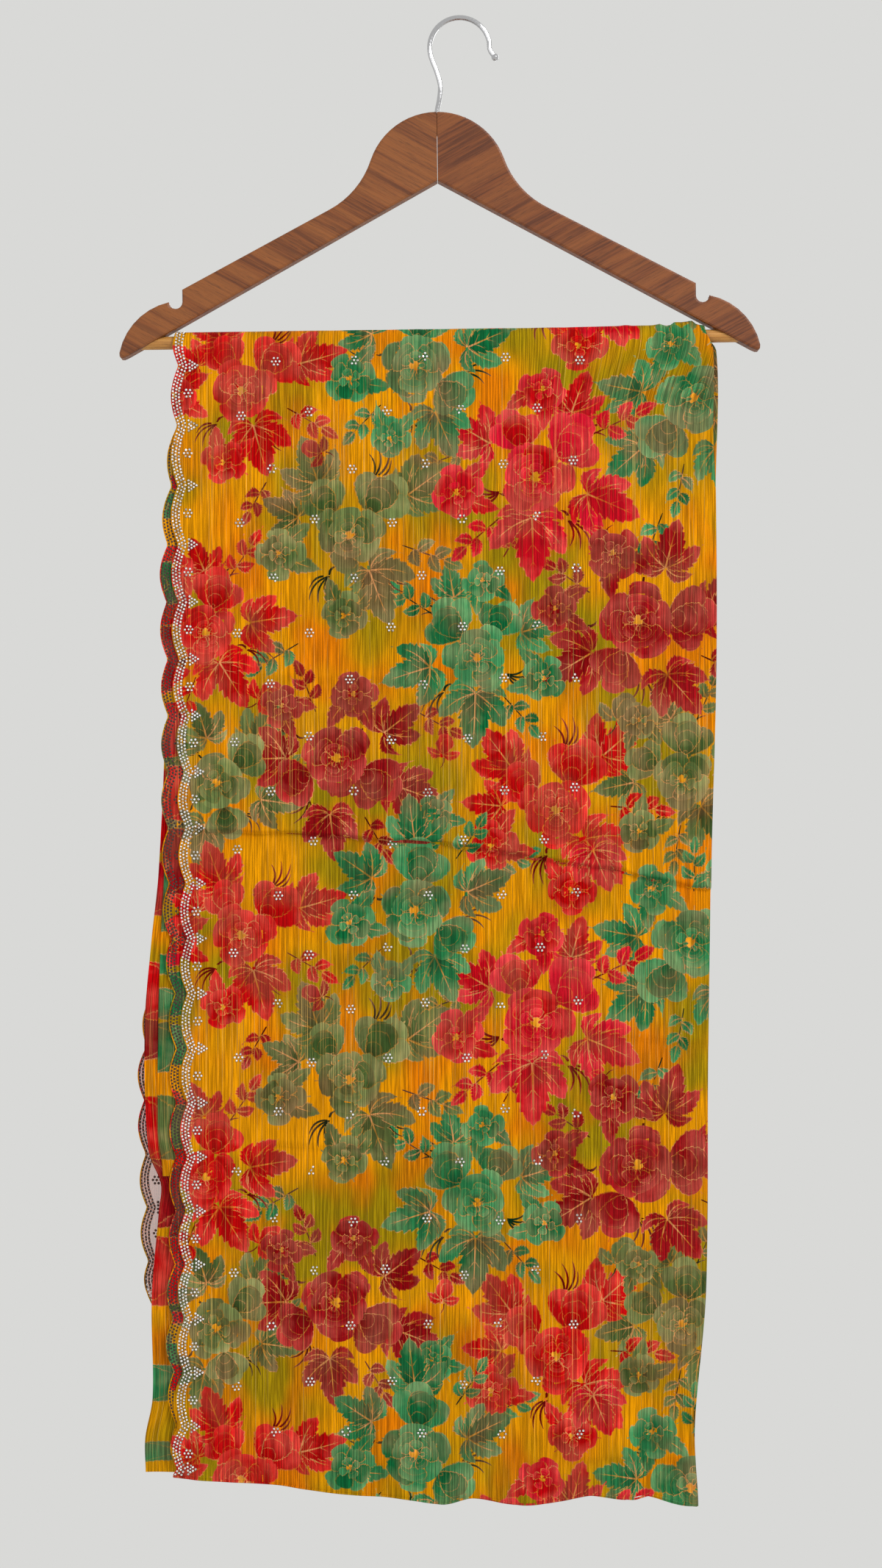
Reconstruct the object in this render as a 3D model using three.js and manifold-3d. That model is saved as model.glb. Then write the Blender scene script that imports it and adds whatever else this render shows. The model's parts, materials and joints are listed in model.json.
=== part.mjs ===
// A printed chiffon saree, folded into a long band and hung over the trouser bar of a wooden
// clothes hanger. Millimetres, +Z up, +X to the right as seen from the front, -Y to the front.
// The origin is the seat of the hook, the point that a nail or a rail carries.
//
// The band is cloth folded in three across its width and in four along its length, so twelve
// layers lie over the bar. The outermost layer is one long wall from the front hem, up over the
// bar and down the back. The second layer shows its scalloped edge just outside the first one's.
// Two folded edges of deeper layers show behind that. The layers between are one shared solid.

import * as THREE from "three";
import Module from "manifold-3d";
import { mergeVertices } from "three/addons/utils/BufferGeometryUtils.js";

const wasm = await Module();
wasm.setup();

const degrees = THREE.MathUtils.degToRad;

// ---------------------------------------------------------------- hanger sizes
const HANGER_X = -17; // the hanger's centre line, left of the hook's seat
const HANGER_TILT = degrees(0.75); // it hangs a little askew, its right shoulder higher
const ARM_THICKNESS = 12;
const ARM_BEVEL = 1.6;
const JOINT_GAP = 0.3; // between two pieces that touch

const HUMP_TOP = -64.6; // height of the neck's crown
const HUMP_RADIUS = 49;
const APEX = -112.3; // height of the inner corner under the neck
const UNDERSIDE_SLOPE = Math.tan(degrees(28.8));
const SHOULDER_SLOPE = degrees(27.8);
const SHOULDER_POINT = { x: 84, z: -136 }; // a point on the straight upper edge
const NECK_FILLET = 60;
const NOTCH = { x: 182.7, z: -194.1, radius: 4.7 };
const TIP = { x: 222.1, z: -228.8, bulge: 45 };
const NOSE = { x: 222.6, z: -234.7, foot: 216.5 };

const BAR_RADIUS = 4.5;
const BAR_Z = -221.7; // height of the bar's axis
const BAR_HALF = 208; // half of its length, into both arms

const WIRE_RADIUS = 1.75;
const HOOK_RADIUS = 20.9; // of the wire's centre line
const HOOK_CENTRE = { x: -0.5, z: -(20.9 - WIRE_RADIUS) };
const STEM_DEPTH = 16; // of the wire in the wood
const BALL_RADIUS = 2.6;

// ---------------------------------------------------------------- cloth sizes
// Layers are placed by their distance from the bar's axis.
const LAYERS = {
  outer: { skin: 7.3, lining: 6.3 },
  second: { skin: 6.0, lining: 4.8 },
  inner: { skin: 6.0, lining: 4.8 },
  greenFold: { skin: 4.5, lining: 2.6 },
  redFold: { skin: 2.3, lining: 0.4 },
};
const SIDE_FOLD = (LAYERS.outer.skin - BAR_RADIUS - JOINT_GAP) / 2; // the right fold's radius
const FOLD_LEG = 2.5; // how far that fold turns back inwards
const CREST_REACH = (Math.PI / 2) * LAYERS.outer.skin; // from the top of the bar to its side

const SCALLOP_DEPTH = 4.8;
const SCALLOP_STEP = 7.7; // between points along a scalloped edge
// Scallops counted down from the bar: they are a little longer near it.
const SCALLOP_COUNT = [
  { z: -200, count: -1 },
  { z: -241.3, count: 0 },
  { z: -365, count: 3 },
  { z: -561, count: 8 },
  { z: -751, count: 13 },
  { z: -974, count: 19 },
  { z: -1047, count: 21 },
];

const LATTICE_STEP = 20; // every cloth piece bends at the same columns and rows
const LATTICE_FIRST = -170;
const LATTICE_LAST = 150;
const FRONT_ROW = 42;
const REAR_ROW = 64;
const FRONT_ROWS_END = 777;
const REAR_ROWS_END = 640;
const CREST_STEPS = 6;

const BORDER_LINE = -187; // the column just inside the scallops
const SPLIT_LINE = -131; // where the second layer meets the shared inner layers
const FOLD_REACH = -120; // how far right the two folded edges run

// Edges, by their height (z) and their place across (x).
const FRONT_LEFT = [
  { z: -216, x: -197 },
  { z: -240, x: -199.5 },
  { z: -350, x: -200 },
  { z: -470, x: -198.5 },
  { z: -505, x: -196 },
  { z: -620, x: -194 },
  { z: -730, x: -193 },
  { z: -880, x: -195 },
  { z: -955, x: -196.2 },
  { z: -1010, x: -200.5 },
];
const FRONT_RIGHT = [
  { z: -214, x: 169.8 },
  { z: -229, x: 175.2 },
  { z: -290, x: 175.4 },
  { z: -330, x: 177.2 },
  { z: -450, x: 177.6 },
  { z: -593, x: 174 },
  { z: -720, x: 172 },
  { z: -880, x: 170.5 },
  { z: -975, x: 162.4 },
  { z: -1030, x: 164.8 },
];
const REAR_LEFT = [
  { z: -216, x: -197 },
  { z: -240, x: -198 },
  { z: -500, x: -203 },
  { z: -640, x: -214 },
  { z: -728, x: -224.5 },
  { z: -800, x: -223.5 },
  { z: -871, x: -221.5 },
  { z: -896, x: -217 },
];
const REAR_RIGHT = [
  { z: -214, x: 169.8 },
  { z: -229, x: 178.8 },
  { z: -310, x: 178.6 },
  { z: -450, x: 173 },
  { z: -896, x: 164 },
];
const SECOND_LEFT = [
  { z: -216, x: -190 },
  { z: -276, x: -199.7 },
  { z: -372, x: -207.4 },
  { z: -460, x: -206.8 },
  { z: -610, x: -205.8 },
  { z: -690, x: -201.5 },
  { z: -840, x: -201.3 },
  { z: -917, x: -203.4 },
  { z: -1010, x: -200 },
];
const SECOND_REAR_LEFT = [
  { z: -216, x: -190 },
  { z: -500, x: -197 },
  { z: -896, x: -206 },
];
const GREEN_LEFT = [
  { z: -584, x: -205 },
  { z: -640, x: -207.5 },
  { z: -692, x: -209 },
  { z: -770, x: -209.3 },
  { z: -802, x: -206 },
];
const RED_LEFT = [
  { z: -489, x: -205.1 },
  { z: -592, x: -209.2 },
  { z: -640, x: -214.2 },
  { z: -700, x: -218.8 },
  { z: -785, x: -216 },
  { z: -808, x: -207.5 },
  { z: -826, x: -208.9 },
  { z: -888, x: -214 },
  { z: -956, x: -213.5 },
  { z: -985, x: -218.7 },
  { z: -1008, x: -218.4 },
];
// Hems, by their place across.
const FRONT_HEM = [
  { x: -205, z: -1010 },
  { x: -112, z: -1018 },
  { x: -13, z: -1028 },
  { x: 8, z: -1023.5 },
  { x: 45, z: -1029.7 },
  { x: 90, z: -1022 },
  { x: 120, z: -1026.6 },
  { x: 133, z: -1024 },
  { x: 165, z: -1029.7 },
];
const REAR_HEM = [
  { x: -224, z: -894 },
  { x: -120, z: -898 },
  { x: 0, z: -893 },
  { x: 180, z: -899 },
];
const HEM_TUCK = 7; // how much shorter the layers inside the front hem are
const GREEN_FOLD = { top: -584, bottom: -802 };
const RED_FOLD = { top: -485, bottom: -1008 };

// Soft waves that hang in the drops, by depth, by the length across and by their start.
const WAVES = [
  { depth: 1.6, length: 250, start: 0.4, near: 60, full: 500 },
  { depth: 3.2, length: 84, start: 2.2, near: 560, full: 800 },
];
const REAR_WAVE_SHARE = 0.5;
// The cloth piles up a little towards the bar's right end, and bunches there.
const BUNCH_X = 156;
const CREST_LIFTS = [
  { height: 0.6, x: 130, width: 40 },
  { height: 2.6, x: BUNCH_X, width: 7.5 },
];

const COLOURS = {
  wood: 0x8e5636,
  bar: 0xb9854c,
  chrome: 0xb8bcc2,
  cloth: 0xd08a12,
  clothInner: 0xc07a10,
  clothGreen: 0x2f7a50,
  clothRed: 0xb02438,
};

// ---------------------------------------------------------------- small tools
// A smooth curve through a table's rows, level past both ends.
function through(rows, key, value, at) {
  const order = rows[0][key] < rows[rows.length - 1][key] ? rows : [...rows].reverse();
  if (at <= order[0][key]) return order[0][value];
  if (at >= order[order.length - 1][key]) return order[order.length - 1][value];
  const i = order.findIndex((row) => row[key] > at) - 1;
  const slope = (j) => {
    if (j === 0 || j === order.length - 1) return 0;
    const before = order[j - 1];
    const after = order[j + 1];
    return (after[value] - before[value]) / (after[key] - before[key]);
  };
  const width = order[i + 1][key] - order[i][key];
  const t = (at - order[i][key]) / width;
  const ease = t * t * (3 - 2 * t);
  return (
    order[i][value] * (1 - ease) +
    order[i + 1][value] * ease +
    slope(i) * width * t * (1 - t) * (1 - t) -
    slope(i + 1) * width * t * t * (1 - t)
  );
}

const smooth = THREE.MathUtils.smoothstep;

function solidOf(geometry) {
  const bare = new THREE.BufferGeometry();
  bare.setAttribute("position", geometry.getAttribute("position"));
  if (geometry.index) bare.setIndex(geometry.index);
  const merged = mergeVertices(bare, 1e-4);
  const vertProperties = new Float32Array(merged.getAttribute("position").array);
  const triVerts = new Uint32Array(merged.index.array);
  return new wasm.Manifold(new wasm.Mesh({ numProp: 3, vertProperties, triVerts }));
}

function geometryOf(solid) {
  const mesh = solid.getMesh();
  const geometry = new THREE.BufferGeometry();
  geometry.setAttribute("position", new THREE.BufferAttribute(mesh.vertProperties, 3));
  geometry.setIndex(new THREE.BufferAttribute(mesh.triVerts, 1));
  geometry.computeVertexNormals();
  return geometry;
}

function cylinderAlong(axis, radius, length, sides) {
  const geometry = new THREE.CylinderGeometry(radius, radius, length, sides);
  if (axis === "x") geometry.rotateZ(Math.PI / 2);
  if (axis === "z") geometry.rotateX(Math.PI / 2);
  return geometry;
}

function piece(name, geometry, colour, roughness, metalness = 0) {
  const material = new THREE.MeshStandardMaterial({ color: colour, roughness, metalness });
  const mesh = new THREE.Mesh(geometry, material);
  mesh.name = name;
  return mesh;
}

// ---------------------------------------------------------------- hanger
function arcPoints(centre, radius, from, to, steps) {
  return Array.from({ length: steps + 1 }, (_, i) => {
    const angle = from + (to - from) * (i / steps);
    return new THREE.Vector2(centre.x + radius * Math.cos(angle), centre.y + radius * Math.sin(angle));
  });
}

// The right half of the outline, from the crown round the tip to the inner corner.
function halfOutline() {
  const crown = new THREE.Vector2(0, HUMP_TOP - HUMP_RADIUS);
  const along = new THREE.Vector2(Math.cos(SHOULDER_SLOPE), -Math.sin(SHOULDER_SLOPE));
  const up = new THREE.Vector2(Math.sin(SHOULDER_SLOPE), Math.cos(SHOULDER_SLOPE));
  const onEdge = new THREE.Vector2(SHOULDER_POINT.x, SHOULDER_POINT.z);

  // The fillet rolls on the straight edge and touches the crown's circle from outside.
  const rolling = onEdge.clone().addScaledVector(up, NECK_FILLET).sub(crown);
  const b = rolling.dot(along);
  const c = rolling.lengthSq() - (HUMP_RADIUS + NECK_FILLET) ** 2;
  const shift = -b + Math.sqrt(b * b - c);
  const fillet = crown.clone().add(rolling).addScaledVector(along, shift);
  const touch = fillet.clone().sub(crown).angle();
  const landing = Math.PI / 2 - SHOULDER_SLOPE;

  const edgeAt = (x) => onEdge.y - (x - onEdge.x) * Math.tan(SHOULDER_SLOPE);
  const notchIn = NOTCH.x - NOTCH.radius;
  const notchOut = new THREE.Vector2(NOTCH.x + NOTCH.radius, NOTCH.z);
  const tip = new THREE.Vector2(TIP.x, TIP.z);
  const chord = tip.clone().sub(notchOut);
  const toCentre = new THREE.Vector2(chord.y, -chord.x).normalize();
  const depth = Math.sqrt(TIP.bulge ** 2 - chord.lengthSq() / 4);
  const centre = notchOut.clone().addScaledVector(chord, 0.5).addScaledVector(toCentre, depth);
  const angleTo = (point) => point.clone().sub(centre).angle();

  const nose = new THREE.QuadraticBezierCurve(
    tip,
    new THREE.Vector2(NOSE.x, NOSE.z),
    new THREE.Vector2(NOSE.foot, APEX - NOSE.foot * UNDERSIDE_SLOPE),
  );
  return [
    ...arcPoints(crown, HUMP_RADIUS, Math.PI / 2, touch, 12),
    ...arcPoints(fillet, NECK_FILLET, touch + Math.PI, landing + Math.PI, 8).slice(1),
    new THREE.Vector2(notchIn, edgeAt(notchIn)),
    ...arcPoints({ x: NOTCH.x, y: NOTCH.z }, NOTCH.radius, Math.PI, 2 * Math.PI, 8),
    ...arcPoints(centre, TIP.bulge, angleTo(notchOut), angleTo(tip), 7).slice(1, -1),
    ...nose.getPoints(4),
    new THREE.Vector2(0, APEX),
  ];
}

function hangerBody() {
  const right = halfOutline();
  const left = right.slice(1, -1).map((p) => new THREE.Vector2(-p.x, p.y)).reverse();
  const outline = new THREE.Shape([...right, ...left].reverse());
  const geometry = new THREE.ExtrudeGeometry(outline, {
    depth: ARM_THICKNESS - 2 * ARM_BEVEL,
    bevelThickness: ARM_BEVEL,
    bevelSize: ARM_BEVEL,
    bevelOffset: -ARM_BEVEL,
    bevelSegments: 2,
    steps: 1,
  });
  geometry.translate(0, 0, ARM_BEVEL - ARM_THICKNESS / 2);
  geometry.rotateX(Math.PI / 2);
  return solidOf(geometry);
}

function hookPath() {
  const points = [
    new THREE.Vector3(HANGER_X, 0, HUMP_TOP - STEM_DEPTH),
    new THREE.Vector3(HANGER_X, 0, HUMP_TOP - STEM_DEPTH / 2),
    new THREE.Vector3(HANGER_X + 0.2, 0, HUMP_TOP + 1),
    new THREE.Vector3(HANGER_X + 2, 0, HUMP_TOP + 10),
    new THREE.Vector3(HANGER_X + 2.7, 0, HUMP_TOP + 19),
    new THREE.Vector3(HANGER_X + 0.6, 0, HUMP_TOP + 28),
  ];
  const start = degrees(196);
  const end = degrees(-4);
  const steps = 12;
  for (let i = 0; i <= steps; i += 1) {
    const angle = start + (end - start) * (i / steps);
    const x = HOOK_CENTRE.x + HOOK_RADIUS * Math.cos(angle);
    const z = HOOK_CENTRE.z + HOOK_RADIUS * Math.sin(angle);
    points.push(new THREE.Vector3(x, 0, z));
  }
  points.push(new THREE.Vector3(HOOK_CENTRE.x + HOOK_RADIUS + 3.6, 0, HOOK_CENTRE.z - 7));
  return new THREE.CatmullRomCurve3(points, false, "centripetal");
}

function hook() {
  const path = hookPath();
  const section = new THREE.Shape();
  section.absarc(0, 0, WIRE_RADIUS, 0, 2 * Math.PI);
  const wire = new THREE.ExtrudeGeometry(section, { steps: 56, curveSegments: 5, extrudePath: path });
  const ball = new THREE.SphereGeometry(BALL_RADIUS, 12, 8);
  const end = path.getPoint(1);
  ball.translate(end.x, end.y, end.z);
  return geometryOf(solidOf(wire).add(solidOf(ball)));
}

function hanger() {
  const group = new THREE.Group();
  const body = hangerBody();
  const bore = cylinderAlong("x", BAR_RADIUS + JOINT_GAP, 2 * (BAR_HALF + JOINT_GAP), 24);
  bore.translate(0, 0, BAR_Z);
  const socket = cylinderAlong("z", WIRE_RADIUS + JOINT_GAP, 2 * (STEM_DEPTH + JOINT_GAP), 16);
  socket.translate(0, 0, HUMP_TOP);
  const drilled = body.subtract(solidOf(bore)).subtract(solidOf(socket));

  const half = 300;
  for (const [name, side] of [["hanger_arm_left", -1], ["hanger_arm_right", 1]]) {
    const box = new THREE.BoxGeometry(half, half, 2 * half);
    box.translate(side * (half / 2 + JOINT_GAP / 2), 0, 0);
    const arm = geometryOf(drilled.intersect(solidOf(box)));
    arm.translate(HANGER_X, 0, 0);
    group.add(piece(name, arm, COLOURS.wood, 0.5));
  }
  const bar = cylinderAlong("x", BAR_RADIUS, 2 * BAR_HALF, 24);
  bar.translate(HANGER_X, 0, BAR_Z);
  group.add(piece("trouser_bar", bar, COLOURS.bar, 0.45));
  group.add(piece("hook", hook(), COLOURS.chrome, 0.15, 1));
  group.rotation.y = -HANGER_TILT;
  return group;
}

// ---------------------------------------------------------------- cloth
// The bar's axis, tilted with the hanger.
function axisAt(x) {
  return BAR_Z / Math.cos(HANGER_TILT) + x * Math.tan(HANGER_TILT);
}

// Stations run along the cloth from the bar's top: front ones are below zero.
const stationAt = (x, z, side) => side * (CREST_REACH + axisAt(x) - z);
const dropAt = (station) => Math.max(0, Math.abs(station) - CREST_REACH);

function wave(x, station) {
  const share = station > 0 ? REAR_WAVE_SHARE : 1;
  const drop = dropAt(station);
  let depth = 0;
  for (const w of WAVES) {
    depth += w.depth * smooth(drop, w.near, w.full) * Math.sin((2 * Math.PI * x) / w.length + w.start);
  }
  return share * depth;
}

function stations() {
  const rows = [];
  for (let drop = FRONT_ROWS_END; drop > FRONT_ROW / 2; drop -= FRONT_ROW) rows.push(-CREST_REACH - drop);
  for (let i = 0; i <= CREST_STEPS; i += 1) rows.push(CREST_REACH * ((2 * i) / CREST_STEPS - 1));
  for (let drop = REAR_ROW; drop <= REAR_ROWS_END; drop += REAR_ROW) rows.push(CREST_REACH + drop);
  return rows;
}
const ROWS = stations();

// The waves as every piece has them: straight between the shared columns and rows.
function sharedWave(x, station) {
  const column = Math.floor((x - LATTICE_FIRST) / LATTICE_STEP);
  const left = LATTICE_FIRST + column * LATTICE_STEP;
  const across = (x - left) / LATTICE_STEP;
  const row = Math.min(Math.max(ROWS.findIndex((s) => s > station) - 1, 0), ROWS.length - 2);
  const [low, high] = station >= ROWS[ROWS.length - 1] ? ROWS.slice(-2) : [ROWS[row], ROWS[row + 1]];
  const along = (station - low) / (high - low);
  const at = (s) => wave(left, s) * (1 - across) + wave(left + LATTICE_STEP, s) * across;
  return at(low) * (1 - along) + at(high) * along;
}

// A point of the cloth, by its place across, its distance from the bar's axis and its station.
function place(x, distance, station) {
  const lift = CREST_LIFTS.reduce((sum, l) => sum + l.height * Math.exp(-(((x - l.x) / l.width) ** 2)), 0);
  const raised = distance + lift * (1 - smooth(dropAt(station), 0, FRONT_ROW));
  const reach = raised + sharedWave(x, station);
  const side = Math.sign(station);
  if (Math.abs(station) >= CREST_REACH) {
    return new THREE.Vector3(x, side * reach, axisAt(x) - dropAt(station));
  }
  const angle = (station / CREST_REACH) * (Math.PI / 2);
  return new THREE.Vector3(x, reach * Math.sin(angle), axisAt(x) + reach * Math.cos(angle));
}

// A closed wall from columns of paired points, outer skin and lining. Neighbouring columns may
// have different stations: the strip between them is zipped along both.
function wall(columns) {
  const points = [];
  const faces = [];
  const ids = columns.map((column) =>
    column.map((stop) => {
      points.push(stop.skin, stop.lining);
      return { station: stop.station, skin: points.length - 2, lining: points.length - 1 };
    }),
  );
  const quad = (a, b, c, d) => faces.push(a, b, c, a, c, d);
  for (let k = 0; k + 1 < ids.length; k += 1) {
    const a = ids[k];
    const b = ids[k + 1];
    let i = 0;
    let j = 0;
    // Strips that run right and strips that run back left are cut along the same diagonals.
    const runsRight = points[b[0].skin].x > points[a[0].skin].x;
    while (i < a.length - 1 || j < b.length - 1) {
      const ahead = j === b.length - 1 ? -1 : i === a.length - 1 ? 1 : a[i + 1].station - b[j + 1].station;
      const stepA = ahead < 0 || (ahead === 0 && runsRight);
      const next = stepA ? a[i + 1] : b[j + 1];
      faces.push(a[i].skin, b[j].skin, next.skin);
      faces.push(a[i].lining, next.lining, b[j].lining);
      if (stepA) i += 1;
      else j += 1;
    }
    quad(a[0].skin, a[0].lining, b[0].lining, b[0].skin);
    quad(b[b.length - 1].skin, b[b.length - 1].lining, a[a.length - 1].lining, a[a.length - 1].skin);
  }
  const rim = (column, flip) => {
    for (let i = 0; i + 1 < column.length; i += 1) {
      const [p, q] = flip ? [column[i + 1], column[i]] : [column[i], column[i + 1]];
      quad(p.skin, q.skin, q.lining, p.lining);
    }
  };
  rim(ids[0], false);
  rim(ids[ids.length - 1], true);
  const geometry = new THREE.BufferGeometry().setFromPoints(points);
  geometry.setIndex(faces);
  geometry.computeVertexNormals();
  return geometry;
}

// Where a layer starts and ends at one place across.
function hemStations(x, tuck) {
  const front = through(FRONT_HEM, "x", "z", x) + tuck;
  const rear = through(REAR_HEM, "x", "z", x) + tuck;
  return [stationAt(x, front, -1), stationAt(x, rear, 1)];
}

// Stations of one column between its two ends, coarse ones from the shared rows.
function between(from, to, clearance = 6) {
  return [from, ...ROWS.filter((s) => s > from + clearance && s < to - clearance), to];
}

// Fine stations along a scalloped edge in the drops, and the shared ones over the bar.
function scallopStations(from, to) {
  const fine = (a, b) => {
    const count = Math.round((b - a) / SCALLOP_STEP);
    return Array.from({ length: count + 1 }, (_, i) => a + ((b - a) * i) / count);
  };
  const crest = ROWS.filter((s) => Math.abs(s) < CREST_REACH - 1);
  return [...fine(from, -CREST_REACH), ...crest, ...fine(CREST_REACH, to)];
}

// How far the scalloped edge steps back from its outermost line.
function scallop(station) {
  const count = through(SCALLOP_COUNT, "z", "count", heightAt(BORDER_LINE, station));
  return SCALLOP_DEPTH * (1 - Math.abs(Math.sin(Math.PI * count)));
}

const heightAt = (x, station) => axisAt(x) - dropAt(station);

// The left or right edge of a layer at a station, from its front and rear tables.
function edge(front, rear, station, guess) {
  const rows = station < 0 ? front : rear;
  const crown = LAYERS.outer.skin * Math.cos(Math.min(Math.abs(station) / CREST_REACH, 1) * Math.PI / 2);
  return through(rows, "z", "x", heightAt(guess, station) + crown);
}

// The shared columns between two places, with one more where the cloth bunches.
function latticeColumns(from, to) {
  const count = (LATTICE_LAST - LATTICE_FIRST) / LATTICE_STEP + 1;
  const even = Array.from({ length: count }, (_, i) => LATTICE_FIRST + i * LATTICE_STEP);
  return [...even, BUNCH_X].filter((x) => x > from && x < to);
}

function column(rows, xAt, skin, lining) {
  return rows.map((station) => {
    const x = xAt(station);
    return { station, skin: place(x, skin, station), lining: place(x, lining, station) };
  });
}

// The outermost layer, front and back in one, with the fold down its right side.
function outerStretch() {
  const { skin, lining } = LAYERS.outer;
  const ends = (x) => hemStations(x, 0);
  const left = (s) => edge(FRONT_LEFT, REAR_LEFT, s, FRONT_LEFT[0].x) + scallop(s);
  const right = (s) => edge(FRONT_RIGHT, REAR_RIGHT, s, FRONT_RIGHT[0].x);
  const columns = [
    column(scallopStations(...ends(FRONT_HEM[0].x)), left, skin, lining),
    column(between(...ends(BORDER_LINE)), () => BORDER_LINE, skin, lining),
  ];
  for (const x of latticeColumns(BORDER_LINE, BUNCH_X + 1)) {
    columns.push(column(between(...ends(x)), () => x, skin, lining));
  }

  const rows = between(...ends(FRONT_HEM[FRONT_HEM.length - 1].x));
  const axis = skin - SIDE_FOLD;
  const turn = (angle) =>
    rows.map((station) => {
      const middle = right(station) - SIDE_FOLD;
      const around = (radius) =>
        place(middle + radius * Math.sin(angle), axis + radius * Math.cos(angle), station);
      return { station, skin: around(SIDE_FOLD), lining: around(SIDE_FOLD - (skin - lining)) };
    });
  const turns = 4;
  for (let i = 0; i <= turns; i += 1) columns.push(turn((Math.PI * i) / turns));
  const under = skin - 2 * SIDE_FOLD;
  const back = (s) => right(s) - SIDE_FOLD - FOLD_LEG;
  columns.push(column(rows, back, under, under + skin - lining));
  return wall(columns);
}

// The second layer's strip along the left, whose scalloped edge shows its wrong side.
function secondStretch() {
  const { skin, lining } = LAYERS.second;
  const ends = (x) => hemStations(x, HEM_TUCK);
  const left = (s) =>
    edge(SECOND_LEFT, SECOND_REAR_LEFT, s, BORDER_LINE) + (s < 0 ? scallop(s) : 0);
  const [from, to] = ends(FRONT_HEM[0].x);
  const front = scallopStations(from, to).filter((s) => s < 0);
  const edgeRows = [...front, ...between(front[front.length - 1], to, 1).slice(1)];
  const columns = [
    column(edgeRows, left, skin, lining),
    column(between(...ends(BORDER_LINE)), () => BORDER_LINE + 3, skin, lining),
  ];
  for (const x of [...latticeColumns(BORDER_LINE, SPLIT_LINE), SPLIT_LINE - JOINT_GAP / 2]) {
    columns.push(column(between(...ends(x)), () => x, skin, lining));
  }
  return wall(columns);
}

// All hidden layers in one, from the second stretch to the inside of the right fold.
function innerLayers() {
  const { skin, lining } = LAYERS.inner;
  const ends = (x) => hemStations(x, HEM_TUCK);
  const columns = [SPLIT_LINE + JOINT_GAP / 2, ...latticeColumns(SPLIT_LINE, BUNCH_X + 1)].map((x) =>
    column(between(...ends(x)), () => x, skin, lining),
  );
  const stop = SIDE_FOLD + FOLD_LEG + 2 * JOINT_GAP;
  const right = (s) => edge(FRONT_RIGHT, REAR_RIGHT, s, FRONT_RIGHT[0].x) - stop;
  columns.push(column(between(...ends(FRONT_HEM[FRONT_HEM.length - 1].x)), right, skin, lining));
  return wall(columns);
}

// A doubled edge: two layers and the rounded fold that joins them at the left.
function foldedEdge(layer, leftEdge, { top, bottom }) {
  const { skin, lining } = layer;
  const middle = (skin + lining) / 2;
  const half = (skin - lining) / 2;
  const ends = (x) => [stationAt(x, bottom, -1), stationAt(x, top, -1)];
  const rows = between(...ends(leftEdge[0].x));
  const columns = [degrees(20), degrees(55), degrees(90)].map((angle) =>
    rows.map((station) => {
      const x = edge(leftEdge, leftEdge, station, leftEdge[0].x) + half * (1 - Math.cos(angle));
      const offset = half * Math.sin(angle);
      return { station, skin: place(x, middle + offset, station), lining: place(x, middle - offset, station) };
    }),
  );
  for (const x of [...latticeColumns(BORDER_LINE, FOLD_REACH), FOLD_REACH]) {
    columns.push(column(between(...ends(x)), () => x, skin, lining));
  }
  return wall(columns);
}

function saree() {
  const group = new THREE.Group();
  const chiffon = 0.75;
  group.add(piece("outer_stretch", outerStretch(), COLOURS.cloth, chiffon));
  group.add(piece("second_stretch", secondStretch(), COLOURS.cloth, chiffon));
  group.add(piece("inner_layers", innerLayers(), COLOURS.clothInner, chiffon));
  const green = foldedEdge(LAYERS.greenFold, GREEN_LEFT, GREEN_FOLD);
  group.add(piece("green_fold", green, COLOURS.clothGreen, chiffon));
  const red = foldedEdge(LAYERS.redFold, RED_LEFT, RED_FOLD);
  group.add(piece("red_fold", red, COLOURS.clothRed, chiffon));
  return group;
}

const sareeOnHanger = new THREE.Group();
sareeOnHanger.add(hanger(), saree());

export default sareeOnHanger;
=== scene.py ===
"""Looks for a printed chiffon saree, folded and hung over the trouser bar of a wooden hanger.

Sizes below are real millimetres. Blender works in metres, so points are scaled once, where a
mesh is made. The front faces -Y, and the origin is the seat of the hook.

A place on the cloth is (x, s): x runs across it, and s runs along it from the top of the bar,
below zero down the front and above zero down the back. The printed pattern lies on (x, w), where
w is the height that the place has, or would have, in the front drop.
"""

import json
import math

import bpy
import numpy as np
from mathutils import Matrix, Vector

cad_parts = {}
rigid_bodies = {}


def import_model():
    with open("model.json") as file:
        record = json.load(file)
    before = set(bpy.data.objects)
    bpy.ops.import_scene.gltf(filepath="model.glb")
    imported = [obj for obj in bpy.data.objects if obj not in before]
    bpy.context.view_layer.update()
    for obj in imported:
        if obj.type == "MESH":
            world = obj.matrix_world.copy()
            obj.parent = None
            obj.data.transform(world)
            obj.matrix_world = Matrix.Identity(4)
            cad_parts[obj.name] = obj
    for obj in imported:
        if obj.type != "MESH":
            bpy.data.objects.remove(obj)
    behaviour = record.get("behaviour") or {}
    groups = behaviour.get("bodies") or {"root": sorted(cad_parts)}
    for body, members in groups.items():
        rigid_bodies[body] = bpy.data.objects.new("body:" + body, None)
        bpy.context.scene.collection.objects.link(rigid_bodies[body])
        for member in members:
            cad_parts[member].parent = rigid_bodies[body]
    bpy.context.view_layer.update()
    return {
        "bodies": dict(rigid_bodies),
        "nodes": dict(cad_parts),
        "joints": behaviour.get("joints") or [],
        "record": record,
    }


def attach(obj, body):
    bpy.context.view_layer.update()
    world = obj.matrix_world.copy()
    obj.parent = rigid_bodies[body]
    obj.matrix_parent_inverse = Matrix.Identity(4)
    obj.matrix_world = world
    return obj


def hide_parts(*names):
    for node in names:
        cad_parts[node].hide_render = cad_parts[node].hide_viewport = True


MM = 0.001
SEED = 11

# ---------------- hanger sizes
TILT = math.radians(0.75)
BAR_Z = -221.7
ARM_SLOPE = math.radians(28.8)

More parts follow.
